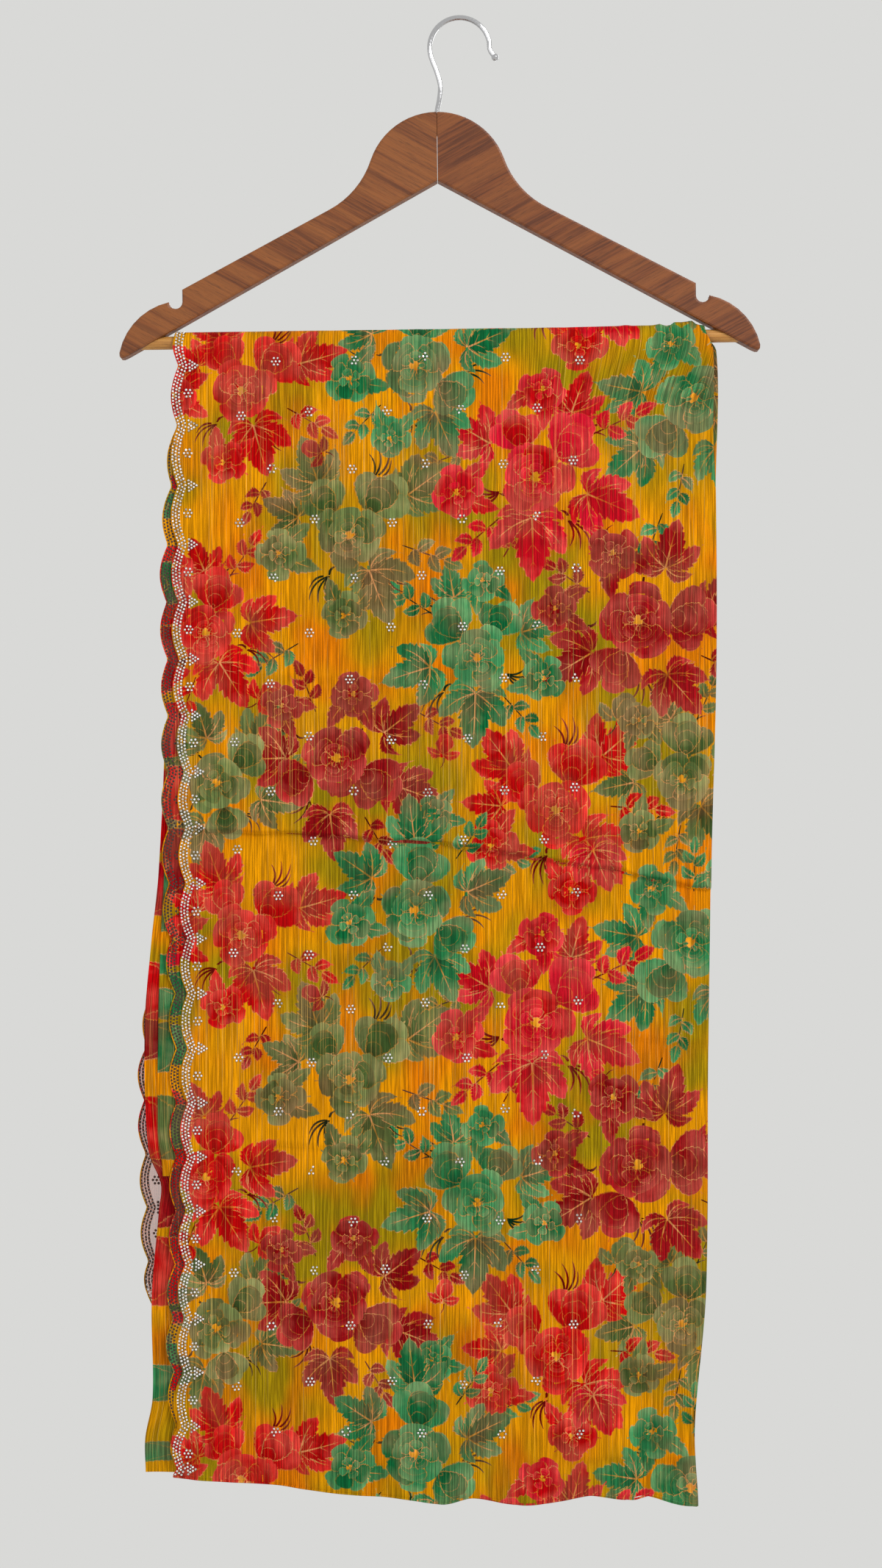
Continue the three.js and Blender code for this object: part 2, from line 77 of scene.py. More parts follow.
# ---------------- cloth sizes
OUTER = 7.3  # the outer layer's distance from the bar's axis
SECOND = 6.0
INNER = (5.9, 5.4, 4.9)  # three of the hidden layers
GREEN = (4.5, 2.7)
RED = (2.3, 0.5)
CREST = math.pi / 2 * OUTER  # from the top of the bar to its side
FOLD_RADIUS = 1.3
FOLD_LEG = 6.0
SCALLOP_DEPTH = 4.8
BORDER_WIDTH = 24.0  # how far from the edge the scallops pull the cloth along
SPLIT_X = -131.0  # where the second layer's strip ends and the hidden layers begin
LEFT_X, RIGHT_X, SECOND_LEFT_X = -197, 170, -190  # edges at the bar
FRONT_CORNER_X, REAR_CORNER_X = -200.0, -217.0  # lower left corners
SECOND_TUCK = 7  # how much shorter the second layer is than the outer one

# Edges: height, place across.
FRONT_LEFT = (
    (-216, -197), (-240, -199.5), (-350, -200), (-470, -198.5), (-505, -196),
    (-620, -194), (-730, -193), (-880, -195), (-955, -196.2), (-1010, -200.5),
)
FRONT_RIGHT = (
    (-214, 169.8), (-229, 175.2), (-290, 175.4), (-330, 177.2), (-450, 177.6),
    (-593, 174), (-720, 172), (-880, 170.5), (-975, 162.4), (-1030, 164.8),
)
REAR_LEFT = (
    (-216, -197), (-240, -198), (-500, -203), (-640, -214), (-728, -224.5),
    (-800, -223.5), (-871, -221.5), (-896, -217),
)
REAR_RIGHT = ((-214, 169.8), (-229, 178.8), (-310, 178.6), (-450, 173), (-896, 164))
SECOND_LEFT = (
    (-216, -190), (-276, -199.7), (-372, -207.4), (-460, -206.8), (-610, -205.8),
    (-690, -201.5), (-840, -201.3), (-917, -203.4), (-1010, -200),
)
SECOND_REAR_LEFT = ((-216, -190), (-500, -197), (-896, -206))
GREEN_LEFT = ((-584, -205), (-640, -207.5), (-692, -209), (-770, -209.3), (-802, -206))
RED_LEFT = (
    (-489, -205.1), (-592, -209.2), (-640, -214.2), (-700, -218.8), (-785, -216),
    (-808, -207.5), (-826, -208.9), (-888, -214), (-956, -213.5), (-985, -218.7),
    (-1008, -218.4),
)
# Hems: place across, height.
FRONT_HEM = (
    (-205, -1010), (-112, -1018), (-13, -1028), (8, -1023.5), (45, -1029.7),
    (90, -1022), (120, -1026.6), (133, -1024), (165, -1029.7),
)
REAR_HEM = ((-224, -894), (-120, -898), (0, -893), (180, -899))
# Scallops, counted down from the bar: height, count.
SCALLOP_COUNT = (
    (-200, -1), (-241.3, 0), (-365, 3), (-561, 8), (-751, 13), (-974, 19), (-1047, 21),
)
# Soft waves of the drops: depth, length across, start, first drop, full drop.
WAVES = (
    (1.6, 250, 0.4, 60, 500),
    (3.2, 84, 2.2, 560, 800),
    (0.35, 37, 1.1, 10, 120),
    (0.22, 23, 0.3, 10, 120),
)
REAR_WAVE_SHARE = 0.5
WAVE_DRIFT = 0.35  # how far the waves swing from side to side on their way down
WAVE_DRIFT_LENGTH = 95
# The cloth piles up towards the bar's right end: height, place across, width.
CREST_LIFTS = ((0.6, 130, 40), (2.6, 156, 7.5))
CREST_LIFT_DROP = 42
CRINKLE_LEAN = 13  # how far the crinkle is drawn aside there

# Sharp creases left by folding: x, z, x, z, height. The cloth swells above each and steps back.
FRONT_CREASES = (
    (-186, -561, -13, -570.5, 2.5),
    (-13, -570.5, 38, -578, 2.7),
    (38, -578, 114, -591, 2.5),
    (114, -591, 176, -604, 2.4),
    (-13, -361, 114, -365, 1.6),
    (-139, -779, -3, -786, 1.8),
    (72, -996, 164, -1001, 1.4),
    (-150, -455, -40, -461, 1.0),
    (95, -702, 172, -712, 1.2),
)
REAR_CREASES = (
    (-195, -541, 40, -548, 2.5),
    (40, -548, 174, -566, 2.9),
    (-60, -380, 90, -386, 1.6),
    (-150, -760, 30, -768, 1.8),
)
CREASE_SWELL = 13.0  # how far above and below a crease the cloth follows it
CREASE_STEP = 1.1
CREASE_UNDERCUT = 0.7  # how deep the cloth steps back below, as a share of the height
LINE_WAVER = ((0.7, 17), (0.4, 6.3))  # creases and wrinkles aren't straight: depth, length
ROWS_DRAWN = (0.62, 15)  # how strongly a main crease draws the rows, and from how far
# The main crease of each drop draws the mesh's rows together: x, height.
FRONT_CREASE_LINE = ((-200, -560), (-13, -570.5), (38, -578), (114, -591), (178, -604))
REAR_CREASE_LINE = ((-225, -540), (40, -548), (178, -566))

# Soft wrinkles, above zero for a ridge: x, z, x, z, height, width.
FRONT_WRINKLES = (
    (161, -212, 147, -238, 2.2, 1.6),
    (156, -211, 137, -243, -1.6, 1.4),
    (151, -211, 130, -240, 1.6, 1.5),
    (146, -211, 122, -236, -1.3, 1.4),
    (140, -212, 112, -234, 1.2, 1.6),
    (166, -217, 161, -252, 1.4, 1.8),
    (171, -220, 169, -268, -1.1, 1.6),
    (116, -213, 98, -228, 0.8, 1.8),
    (-30, -217, -38, -234, 0.5, 2.0),
    (-120, -880, 30, -905, 1.2, 9.0),
    (40, -930, 150, -915, 1.2, 10.0),
    (-150, -660, -60, -690, 0.8, 9.0),
    (30, -470, 160, -500, 0.8, 9.0),
)
REAR_WRINKLES = (
    (150, -214, 120, -240, 1.2, 2.0),
    (-150, -850, 20, -870, 1.2, 9.0),
    (30, -640, 160, -660, 0.9, 9.0),
)

ROW = 2.9  # height of the outer layer's faces
OUTER_COLUMNS = 158
OUTER_REACH = (-820, 690)  # roughly where the drops of the outer layer end
FOLD_END_X = -122.0  # where the legs of the folded edges end
TUBE_SIDES = 6

# ---------------- print
REPEAT = 376.7  # height of one repeat
SLOTS = 4  # how many printed shapes may share one face
THIN = 2.0  # half width under which a shape is a line
PRINT_TOP = -210  # about where the first repeat starts
FARTHEST = 70  # no shape reaches farther from its foot

GOLD = (230, 150, 0)
ORANGE = (226, 110, 0)
OLIVE = (160, 132, 6)
PEACH = (222, 144, 42)
RIM_HIGHLIGHT = (226, 154, 96)
BACKLIT_MAUVE = (234, 156, 150)
DUSTY = (148, 86, 64)
EYE = (226, 150, 22)
PALETTES = {
    "red": ((184, 0, 2), (218, 8, 16), (112, 2, 4)),
    "pink": ((188, 0, 8), (220, 20, 48), (124, 4, 8)),
    "maroon": ((136, 2, 8), (174, 20, 28), (84, 6, 6)),
    "green": ((12, 104, 56), (70, 152, 94), (4, 48, 24)),
    "sage": ((66, 90, 42), (122, 136, 78), (28, 42, 18)),
}

# Factors and colours in linear light.
THREAD_GLINT = (0.95, 0.6, 0.16, 1)
BRIGHTER = (1.16, 1.2, 1.2, 1)
PALER = (0.16, 0.062, 0.042, 1)
DEEPER = (0.66, 0.4, 0.4, 1)

# Parts of the printed bouquets: part, x, y, heading, size.
BOUQUETS = {
    "wide": (
        ("peony", 0, 0, 20, 1.0),
        ("cup", -16, 10, 150, 1.05),
        ("cup", 4, 18, 75, 0.8),
        ("rose", 48, 6, 10, 1.0),
        ("rose", 22, -48, -60, 0.95),
        ("fan", -45, 12, 168, 1.0),
        ("fan", 8, 40, 82, 0.95),
        ("fan", 28, 24, 40, 0.75),
        ("fan", -4, -26, -100, 1.1),
        ("twig", -30, -18, -140, 1.0),
        ("stems", -26, 30, 130, 1.0),
        ("stems", 22, -20, -40, 0.9),
        ("stems", -14, -30, -120, 0.8),
    ),
    "tall": (
        ("peony", 0, 0, 75, 0.98),
        ("cup", 13, 13, 45, 1.0),
        ("cup", -8, 18, 110, 0.85),
        ("rose", -48, -8, 190, 0.95),
        ("rose", 4, 54, 60, 0.85),
        ("fan", -2, -24, -92, 1.1),
        ("fan", 32, -10, -30, 1.0),
        ("fan", 22, 40, 75, 0.75),
        ("fan", -28, 22, 150, 0.85),
        ("twig", 34, 26, 25, 1.0),
        ("twig", -22, -24, -140, 0.9),
        ("stems", 26, 24, 30, 1.0),
        ("stems", -22, -8, 175, 0.9),
        ("stems", 20, -26, -60, 0.9),
    ),
    "round": (
        ("peony", 0, 0, 130, 1.08),
        ("cup", 18, -4, -20, 1.05),
        ("cup", -14, -14, -135, 0.9),
        ("rose", 0, 46, 100, 1.0),
        ("rose", -46, 26, 160, 0.85),
        ("fan", 46, -8, -8, 1.0),
        ("fan", -34, -8, 190, 1.0),
        ("fan", 6, -38, -78, 0.95),
        ("fan", 28, 26, 50, 0.9),
        ("twig", -22, 28, 125, 0.9),
        ("twig", 30, -34, -45, 0.9),
        ("stems", 14, 26, 80, 0.9),
        ("stems", -12, -30, -95, 1.0),
        ("stems", -32, 10, 170, 0.9),
    ),
}
# Where they stand in one repeat: x, w, bouquet, palette, turn, size, mirrored.
PLACES = (
    (-151, -257, "wide", "red", 10, 0.96, 1),
    (-31, -241, "round", "green", 100, 1.0, 0),
    (52, -320, "tall", "pink", 0, 1.14, 0),
    (160, -266, "round", "green", 35, 1.0, 1),
    (-76, -358, "wide", "sage", 20, 1.05, 1),
    (12, -444, "tall", "green", -8, 1.0, 1),
    (123, -420, "round", "maroon", 20, 1.1, 0),
    (-176, -424, "tall", "red", 30, 0.95, 0),
    (-86, -512, "round", "maroon", -15, 1.0, 0),
    (67, -550, "wide", "red", 35, 1.06, 1),
    (-168, -528, "round", "sage", 60, 0.85, 0),
    (154, -530, "tall", "sage", 40, 0.95, 0),
)
# Loose motifs between them: part, x, w, heading, size, palette.
LOOSE = (
    ("fan", 92, -201, -70, 0.9, "pink"),
    ("bud", -139, -470, 30, 1.0, "red"),
    ("bud", 108, -487, 60, 1.1, "sage"),
    ("bud", -12, -510, 80, 0.8, "red"),
    ("rose", -18, -552, 200, 0.8, "green"),
    ("twig", 140, -345, -110, 1.0, "green"),
    ("twig", -112, -432, -150, 1.0, "green"),
    ("twig", 30, -374, 60, 0.9, "pink"),
    ("twig", -30, -480, -30, 0.9, "maroon"),
    ("bud", -96, -300, 160, 0.8, "maroon"),
    ("twig", 4, -300, 200, 0.9, "sage"),
    ("twig", 20, -590, 20, 0.9, "green"),
    ("bud", 100, -360, 230, 0.8, "pink"),
    ("twig", -134, -320, 240, 0.8, "maroon"),
)
# What shows of the deeper layers' print: top, bottom, palette.
SECOND_BLOCKS = (
    (-240, -262, "red"), (-273, -293, "maroon"), (-314, -324, "pink"), (-326, -344, "green"),
    (-380, -410, "green"), (-420, -466, "maroon"), (-476, -514, "pink"), (-515, -553, "red"),
    (-563, -609, "maroon"), (-650, -660, "pink"), (-665, -696, "green"), (-698, -726, "green"),
    (-751, -782, "sage"), (-792, -842, "maroon"), (-843, -894, "red"), (-895, -904, "pink"),
    (-914, -929, "green"), (-930, -950, "red"),
)
GREEN_BLOCKS = (
    (-588, -612, "green"), (-613, -634, "green"), (-645, -660, "green"), (-668, -690, "green"),
    (-700, -735, "green"), (-745, -790, "sage"),
)
RED_BLOCKS = (
    (-517, -548, "red"), (-549, -580, "red"), (-581, -619, "pink"), (-650, -690, "red"),
    (-691, -726, "maroon"), (-746, -790, "red"), (-791, -840, "maroon"), (-841, -889, "red"),
    (-935, -961, "green"), (-990, -1004, "green"),
)

# ---------------- stones
STONE_RADIUS = 0.8
STONE_RIM = 0.98
STONE_GIRDLE = 0.12
STONE_HEIGHT = 0.75
STONE_SIDES = 8
STONE_PITCH = 2.25
STONE_ROWS = (1.1, 3.3, 5.5)
CUSP_ROWS = (
    (7.6, (-3.6, -1.2, 1.2, 3.6)),
    (9.4, (-2.4, 0.0, 2.4)),
    (11.2, (-1.2, 1.2)),
    (13.0, (0.0,)),
)
CLUSTER_RADIUS = 2.6
FIELD_X = 52.4
FIELD_S = 37.2
FIELD_START = (-154.5, -128.6)
FIELD_ROW_S = -100.3
FIELD_LAST_X = 92.0
BORDER_CLUSTER_INSET = 11.7

# ---------------- scene, in metres
MIDDLE = (0, 0, -0.55)
FLOOR_Z = -1.9


def srgb(r, g, b):
    """A colour given as it shows on a screen, 0 to 255, as Blender's linear light."""
    def channel(c):
        c /= 255
        return c / 12.92 if c <= 0.04045 else ((c + 0.055) / 1.055) ** 2.4
    return (channel(r), channel(g), channel(b), 1.0)


def through(table, at):
    """A smooth curve through the rows of a table, level past both ends."""
    keys, values = np.array(sorted(table), dtype=float).T
    at = np.clip(at, keys[0], keys[-1])
    i = np.clip(np.searchsorted(keys, at, side="right") - 1, 0, len(keys) - 2)
    slopes = np.zeros(len(keys))
    slopes[1:-1] = (values[2:] - values[:-2]) / (keys[2:] - keys[:-2])
    width = keys[i + 1] - keys[i]
    t = (at - keys[i]) / width
    ease = t * t * (3 - 2 * t)
    return (
        values[i] * (1 - ease)
        + values[i + 1] * ease
        + slopes[i] * width * t * (1 - t) ** 2
        - slopes[i + 1] * width * t * t * (1 - t)
    )


def smoothstep(at, low, high):
    t = np.clip((at - low) / (high - low), 0, 1)
    return t * t * (3 - 2 * t)


# ---------------- the cloth's form
def axis_height(x):
    """Height of the bar's axis at one place across."""
    return BAR_Z / math.cos(TILT) + x * math.tan(TILT)


def drop_of(s):
    return np.maximum(0, np.abs(s) - CREST)


def height_of(x, s):
    """Height of a place on the outer layer, also where it rounds over the bar."""
    crown = OUTER * np.cos(np.minimum(np.abs(s) / CREST, 1) * math.pi / 2)
    return axis_height(x) - drop_of(s) + crown


def station(x, z, side):
    """The place s of a height in the front drop, side -1, or the rear one, side 1."""
    return side * (CREST + axis_height(x) - z)


def print_height(s):
    """Where a place lies on the print: its height if the cloth hung straight in front."""
    return BAR_Z + CREST + s


def wave(x, s):
    """How far a drop stands out in soft waves."""
    share = np.where(s > 0, REAR_WAVE_SHARE, 1)
    total = 0
    for depth, length, start, near, full in WAVES:
        total = total + depth * smoothstep(drop_of(s), near, full) * np.sin(
            math.tau * x / length + start + WAVE_DRIFT * np.sin(drop_of(s) / WAVE_DRIFT_LENGTH + start)
        )
    return share * total


def along_line(x, z, x0, z0, x1, z1):
    """How far a place is along a line and below it, and how strong the line is there."""
    dx, dz = x1 - x0, z1 - z0
    length = math.hypot(dx, dz)
    along = ((x - x0) * dx + (z - z0) * dz) / length
    below = ((x - x0) * dz - (z - z0) * dx) / length
    for depth, reach in LINE_WAVER:
        below = below - depth * np.sin(along / reach)
    fade = smoothstep(along, -0.05 * length - 3, 0.1 * length)
    return below, fade * (1 - smoothstep(along, 0.9 * length, 1.05 * length + 3))


def creases(x, z, table):
    """How far sharp creases lift the cloth: a swell above each and a step back below."""
    total = np.zeros(np.shape(x))
    for x0, z0, x1, z1, height in table:
        below, strength = along_line(x, z, x0, z0, x1, z1)
        step = smoothstep(below, -CREASE_STEP, CREASE_STEP)
        profile = (1 - step) * np.exp(np.minimum(below, 0) / CREASE_SWELL)
        profile = profile - CREASE_UNDERCUT * step * np.exp(-np.maximum(below, 0) / CREASE_SWELL)
        total = total + height * strength * profile
    return total


def wrinkles(x, z, table):
    total = np.zeros(np.shape(x))
    for x0, z0, x1, z1, height, width in table:
        below, strength = along_line(x, z, x0, z0, x1, z1)
        total = total + height * strength * np.exp(-np.abs(below / width) ** 1.5)
    return total


def spot(x, s, distance):
    """Points of a layer, in metres, at a distance from the bar's axis."""
    x, s, distance = np.broadcast_arrays(*(np.asarray(a, dtype=float) for a in (x, s, distance)))
    lift = sum(h * np.exp(-(((x - at) / w) ** 2)) for h, at, w in CREST_LIFTS)
    reach = distance + lift * (1 - smoothstep(drop_of(s), 0, CREST_LIFT_DROP)) + wave(x, s)
    z = height_of(x, s)
    front = creases(x, z, FRONT_CREASES) + wrinkles(x, z, FRONT_WRINKLES)
    rear = creases(x, z, REAR_CREASES) + wrinkles(x, z, REAR_WRINKLES)
    reach = reach + np.where(s < 0, front, rear)
    side = np.sign(s)
    angle = np.clip(s / CREST, -1, 1) * math.pi / 2
    hanging = np.abs(s) >= CREST
    y = np.where(hanging, side * reach, reach * np.sin(angle))
    up = np.where(hanging, -drop_of(s), reach * np.cos(angle))
    return np.stack([x, y, axis_height(x) + up], axis=-1) * MM


def scallop(s):
    """How far the scalloped edge steps back from its outermost line."""
    count = through(SCALLOP_COUNT, axis_height(SECOND_LEFT_X) - drop_of(s))
    return SCALLOP_DEPTH * (1 - np.abs(np.sin(math.pi * count)))


def edge(front, rear, s, x):
    z = height_of(x, s)
    return np.where(s < 0, through(front, z), through(rear, z))


def outer_left(s):
    return edge(FRONT_LEFT, REAR_LEFT, s, LEFT_X) + scallop(s)


def second_left(s):
    left = edge(SECOND_LEFT, SECOND_REAR_LEFT, s, SECOND_LEFT_X)
    return left + np.where(s < 0, scallop(s), 0)


def hem_stations(x, tuck):
    """Where a layer ends in front and behind, tucked up by so much."""
    front = station(x, through(FRONT_HEM, x) + tuck, -1)
    rear = station(x, through(REAR_HEM, x) + tuck, 1)
    return front, rear


# ---------------- the printed shapes
# A shape is a form along an axis from its foot: its edge lies where |q| is p^a * (1 - p)^b.
# Each form: a, b, depth of its teeth.
FORMS = {
    "petal": (0.75, 0.42, 0.0),
    "frill": (0.8, 0.42, 0.07),
    "broad": (0.66, 0.7, 0.24),
    "leaf": (0.62, 0.84, 0.26),
    "line": (0.12, 0.35, 0.0),
    "block": (0.2, 0.2, 0.0),
}


class Print:
    """The printed shapes of one repeat, the top ones first.

    A bouquet's frame says where it stands: x, w, turn, size, mirrored, palette. A part stands at
    a place in that frame: the frame, x, y, heading, size.
    """

    def __init__(self):
        self.rows = []
        self.random = np.random.default_rng(SEED)

    def shape(self, frame, form, x, y, heading, length, half, bend, tone, veins, mix=None):
        x0, y0, turn, size, mirrored, palette = frame
        flip = -1 if mirrored else 1
        heading = math.radians(heading)
        cos, sin = math.cos(turn), math.sin(turn)
        px, py = flip * x * size, y * size
        a, b, teeth = FORMS[form]
        at = a / (a + b)
        norm = 1 / (at**a * (1 - at) ** b)
        direction = turn + (math.pi - heading if mirrored else heading)
        deep, light, dark = (np.array(srgb(*shade)[:3]) for shade in PALETTES[palette])
        if mix:
            colour = {"gold": np.array(srgb(*EYE)[:3]), "dark": dark}[mix]
        else:
            share = np.clip(tone + self.random.normal(0, 0.2), 0, 1)
            colour = deep * (1 - share) + light * share
        foot = (x0 + cos * px - sin * py, y0 + sin * px + cos * py)
        sizes = (length * size, half * size, flip * bend * size)
        self.rows.append((*foot, direction, *sizes, norm, a, b, teeth, veins, *colour))

    def petal(self, place, form, turn, length, half, tone, veins=0.0, bend=0.0, mix=None):
        """A shape from the foot of a part, in the part's own size."""
        frame, x, y, heading, k = place
        self.shape(frame, form, x, y, heading + turn, length * k, half * k, bend * k, tone, veins, mix)

    def line(self, place, turn, length, half, bend=0.0):
        """A dark stroke, as wide in a small part as in a big one."""
        frame, x, y, heading, k = place
        self.shape(frame, "line", x, y, heading + turn, length * k, half, bend * k, 0, 0, "dark")

    def ring(self, place, turn, count, foot, length, half, tone, form="petal", veins=0.0):
        frame, x, y, heading, k = place
        for i in range(count):
            angle = heading + turn + 360 * i / count + self.random.uniform(-10, 10)
            r = math.radians(angle)
            stretch = self.random.uniform(0.88, 1.14)
            width = self.random.uniform(0.9, 1.1)
            at = (frame, x + foot * k * math.cos(r), y + foot * k * math.sin(r), angle, k)
            self.petal(at, form, 0, length * stretch, half * width, tone, veins)

    def eye(self, frame, x, y, k):
        """A flower's yellow middle, partly under small petals."""
        self.ring((frame, x, y, 20, k), 0, 3, 1.6, 4.2, 1.5, 0.3)
        self.petal((frame, x - 3.2 * k, y, 12, k), "frill", 0, 6.4, 3.2, 0.5, mix="gold")

    def peony(self, frame, x, y, heading, k):
        place = (frame, x, y, heading, k)
        self.eye(frame, x, y, k)
        self.ring(place, 0, 5, 2.6, 7.5, 4.4, 0.5, "petal", -0.8)
        self.ring(place, 40, 3, 1.5, 14, 9.4, 0.35, "petal", -0.7)
        outer = (
            (0, 21, 11, 0.0), (80, 19, 10.5, 0.8), (150, 22, 11, 0.4),
            (215, 20, 11.5, 0.9), (285, 22, 10, 0.1),
        )
        for petal in outer:
            self.petal(place, "frill", *petal)
        self.ring(place, 42, 3, 8, 16.5, 9, 0.55, "frill")

    def rose(self, frame, x, y, heading, k):
        place = (frame, x, y, heading, k)
        self.eye(frame, x, y, 0.62 * k)
        self.ring(place, 0, 4, 1.6, 5.6, 3.4, 0.45, "petal", -0.8)
        self.ring(place, 50, 4, 2.2, 11, 7, 0.2, "frill")
        self.ring(place, 10, 4, 5, 12, 7.2, 0.7, "frill")
        for side in (-1, 1):
            self.petal(place, "leaf", 180 + side * 32, 29, 6.6, 0.35, 1.0, side * 1.5)

    def cup(self, *place):
        petals = ((-4, 25, 10, 0.05, -0.9), (36, 27, 8, 0.6), (-42, 26, 8, 0.4, -0.5), (6, 31, 10, 0.9))
        for petal in petals:
            self.petal(place, "frill", *petal)

    def fan(self, *place):
        leaves = (
            ("leaf", 2, 35, 9.6, 0.3),
            ("broad", 48, 27, 6.8, 0.6),
            ("broad", -46, 28, 7.2, 0.35),
            ("leaf", 90, 18, 4.6, 0.65),
            ("leaf", -88, 20, 4.6, 0.5),
        )
        for form, turn, length, half, tone in leaves:
            turn = turn + self.random.uniform(-7, 7)
            self.petal(place, form, turn, length, half, tone, 1.0, 0.05 * turn)

    def twig(self, frame, x, y, heading, k):
        """A curved stem with a few leaves."""
        leaves = ((8, 52, 12), (11, -48, 13), (20, 40, 13), (23, -42, 12), (29, 4, 14))
        r = math.radians(heading)
        for along, turn, length in leaves:
            lx, ly = x + along * k * math.cos(r), y + along * k * math.sin(r)
            self.shape(frame, "leaf", lx, ly, heading + turn, length * k, 4.2 * k, 0.03 * turn, 0.5, 0.8)
        self.line((frame, x, y, heading, k), 0, 30, 0.5)

    def bud(self, *place):
        """A small closed flower over two leaves."""
        for petal in ((-14, 15, 5.4, 0.3), (16, 14, 5.2, 0.7), (0, 18, 6.5, 0.5)):
            self.petal(place, "frill", *petal)
        for side in (-1, 1):
            self.petal(place, "leaf", side * 75, 15, 4.4, 0.5, 0.8, side * 2)
        self.line(place, 180, 12, 0.5, 2)

    def stems(self, *place):
        for turn, length, bend in ((-26, 17, 3.0), (-8, 21, 3.5), (10, 23, 4.0), (26, 18, 4.0)):
            self.line(place, turn, length, 0.75, bend)
        self.line(place, 185, 9, 0.9, -2)

    def block(self, x, top, bottom, palette):
        """Part of a big petal, as much as shows on a narrow strip."""
        frame = (x, (top + bottom) / 2, 0.0, 1.0, 0, palette)
        turn = self.random.uniform(-7, 7)
        self.shape(frame, "block", -36, 0, turn, 72, (top - bottom) / 2, 3, 0.4, -1.0)


def printed_shapes():
    """Every printed shape of one repeat, as rows of numbers."""
    page = Print()
    for layer in (("peony", "rose"), ("cup", "bud"), ("fan", "twig", "stems")):
        for x, w, bouquet, palette, turn, size, mirrored in PLACES:
            frame = (x, w, math.radians(turn), size, mirrored, palette)
            for part, px, py, heading, k in BOUQUETS[bouquet]:
                if part in layer:
                    getattr(page, part)(frame, px, py, heading, k)
        for part, x, w, heading, size, palette in LOOSE:
            if part in layer:
                getattr(page, part)((x, w, 0.0, 1.0, 0, palette), 0, 0, heading, size)
    return np.array(page.rows)


def strip_shapes(x, blocks):
    """The shapes of a strip, once, from a table of its blocks of colour."""
    page = Print()
    for top, bottom, palette in blocks:
        page.block(x, top, bottom, palette)
    return np.array(page.rows)


SHAPES = printed_shapes()


def local_place(place, at):
    """Where points lie on a shape: along its axis, and off it in units of its form."""
    x, y, heading, length, half, bend, norm = place
    dx, dy = at[..., 0] - x, at[..., 1] - y
    p = (dx * math.cos(heading) + dy * math.sin(heading)) / length
    n = -dx * math.sin(heading) + dy * math.cos(heading) - 4 * bend * p * (1 - p)
    return p, n / (half * norm)


def chart(mesh, corners, strip, strip_from):
    """Store on each face the topmost printed shapes that touch it.

    A strip's own shapes come first. From strip_from on across, it has no others.
    """
    count = len(corners)
    middle = corners.mean(axis=1)
    reach = np.abs(corners - middle[:, None]).max(axis=(1, 2)) * 1.42
    used = np.zeros(count, dtype=int)
    done = np.zeros(count, dtype=bool)
    forms = np.zeros((SLOTS, count, 4, 3))
    kinds = np.zeros((SLOTS, count, 4, 3))
    tints = np.zeros((SLOTS, count, 4, 4))
    base = np.zeros((count, 4))
    low, high = middle[:, 1].min(), middle[:, 1].max()
    pages = [(row, 0) for row in strip] + [(None, 0)]
    first, last = (low - PRINT_TOP) / REPEAT, (high - PRINT_TOP) / REPEAT
    for k in range(math.floor(first) - 1, math.ceil(last) + 2):
        pages += [(row, k) for row in SHAPES]
    for row, k in pages:
        if row is None:
            done[middle[:, 0] > strip_from] = True
            continue
        x, y, heading, length, half, bend, norm, a, b, teeth, veins = row[:11]
        y = y + k * REPEAT
        if not low - FARTHEST < y < high + FARTHEST:
            continue
        near = length + abs(bend) + 3
        close = ~done & (np.abs(middle[:, 0] - x) < near) & (np.abs(middle[:, 1] - y) < near)
        index = np.nonzero(close)[0]
        place = (x, y, heading, length, half, bend, norm)
        p, q = local_place(place, middle[index])
        slack = reach[index]
        inside = np.clip(p, 0, 1) ** a * (1 - np.clip(p, 0, 1)) ** b * (1 + teeth / 2)
        gap = (np.abs(q) - inside) * half * norm
        # A face whose slots are full takes the colour of the next wide shape under its middle.
        full = (used[index] == SLOTS) & (gap < 0) & (p > 0) & (p < 1) & (half > THIN)
        base[index[full]] = (*row[11:14], 1)
        done[index[full]] = True
        slip = slack / length
        touch = (gap < slack + 0.6) & (p > -slip) & (p < 1 + slip) & (used[index] < SLOTS)
        index = index[touch]
        if not len(index):
            continue
        p, q = local_place(place, corners[index])
        slot = used[index]
        forms[slot, index] = np.stack([p, q, np.full(p.shape, half * norm)], axis=-1)
        kinds[slot, index] = (a, b, teeth)
        tints[slot, index] = (*row[11:14], veins)
        used[index] += 1
        done[index[(gap[touch] < -slack[touch] - 1.2) & (teeth == 0)]] = True
    store(mesh, "base", "FLOAT_COLOR", "FACE", base)
    for k in range(SLOTS):
        store(mesh, f"form{k}", "FLOAT_VECTOR", "CORNER", forms[k])
        store(mesh, f"kind{k}", "FLOAT_VECTOR", "CORNER", kinds[k])
        store(mesh, f"tint{k}", "FLOAT_COLOR", "CORNER", tints[k])


# ---------------- meshes
def add_object(name, data):
    obj = bpy.data.objects.new(name, data)
    bpy.context.scene.collection.objects.link(obj)
    return obj


def new_mesh(name, vertices, faces, material):
    mesh = bpy.data.meshes.new(name)
    mesh.from_pydata(vertices.reshape(-1, 3).tolist(), [], faces.tolist())
    mesh.materials.append(material)
    mesh.shade_smooth()
    return add_object(name, mesh)


def grid_faces(rows, columns):
    """Quads of a grid, wound so that they face away from the bar."""
    i, j = np.meshgrid(np.arange(rows - 1), np.arange(columns - 1), indexing="ij")
    a = (i * columns + j).ravel()
    return np.stack([a, a + 1, a + 1 + columns, a + columns], axis=1)


def store(mesh, name, kind, domain, values):
    attribute = mesh.attributes.new(name, kind, domain)
    field = "color" if kind == "FLOAT_COLOR" else "value" if kind == "FLOAT" else "vector"
    attribute.data.foreach_set(field, np.ascontiguousarray(values, dtype=np.float32).ravel())


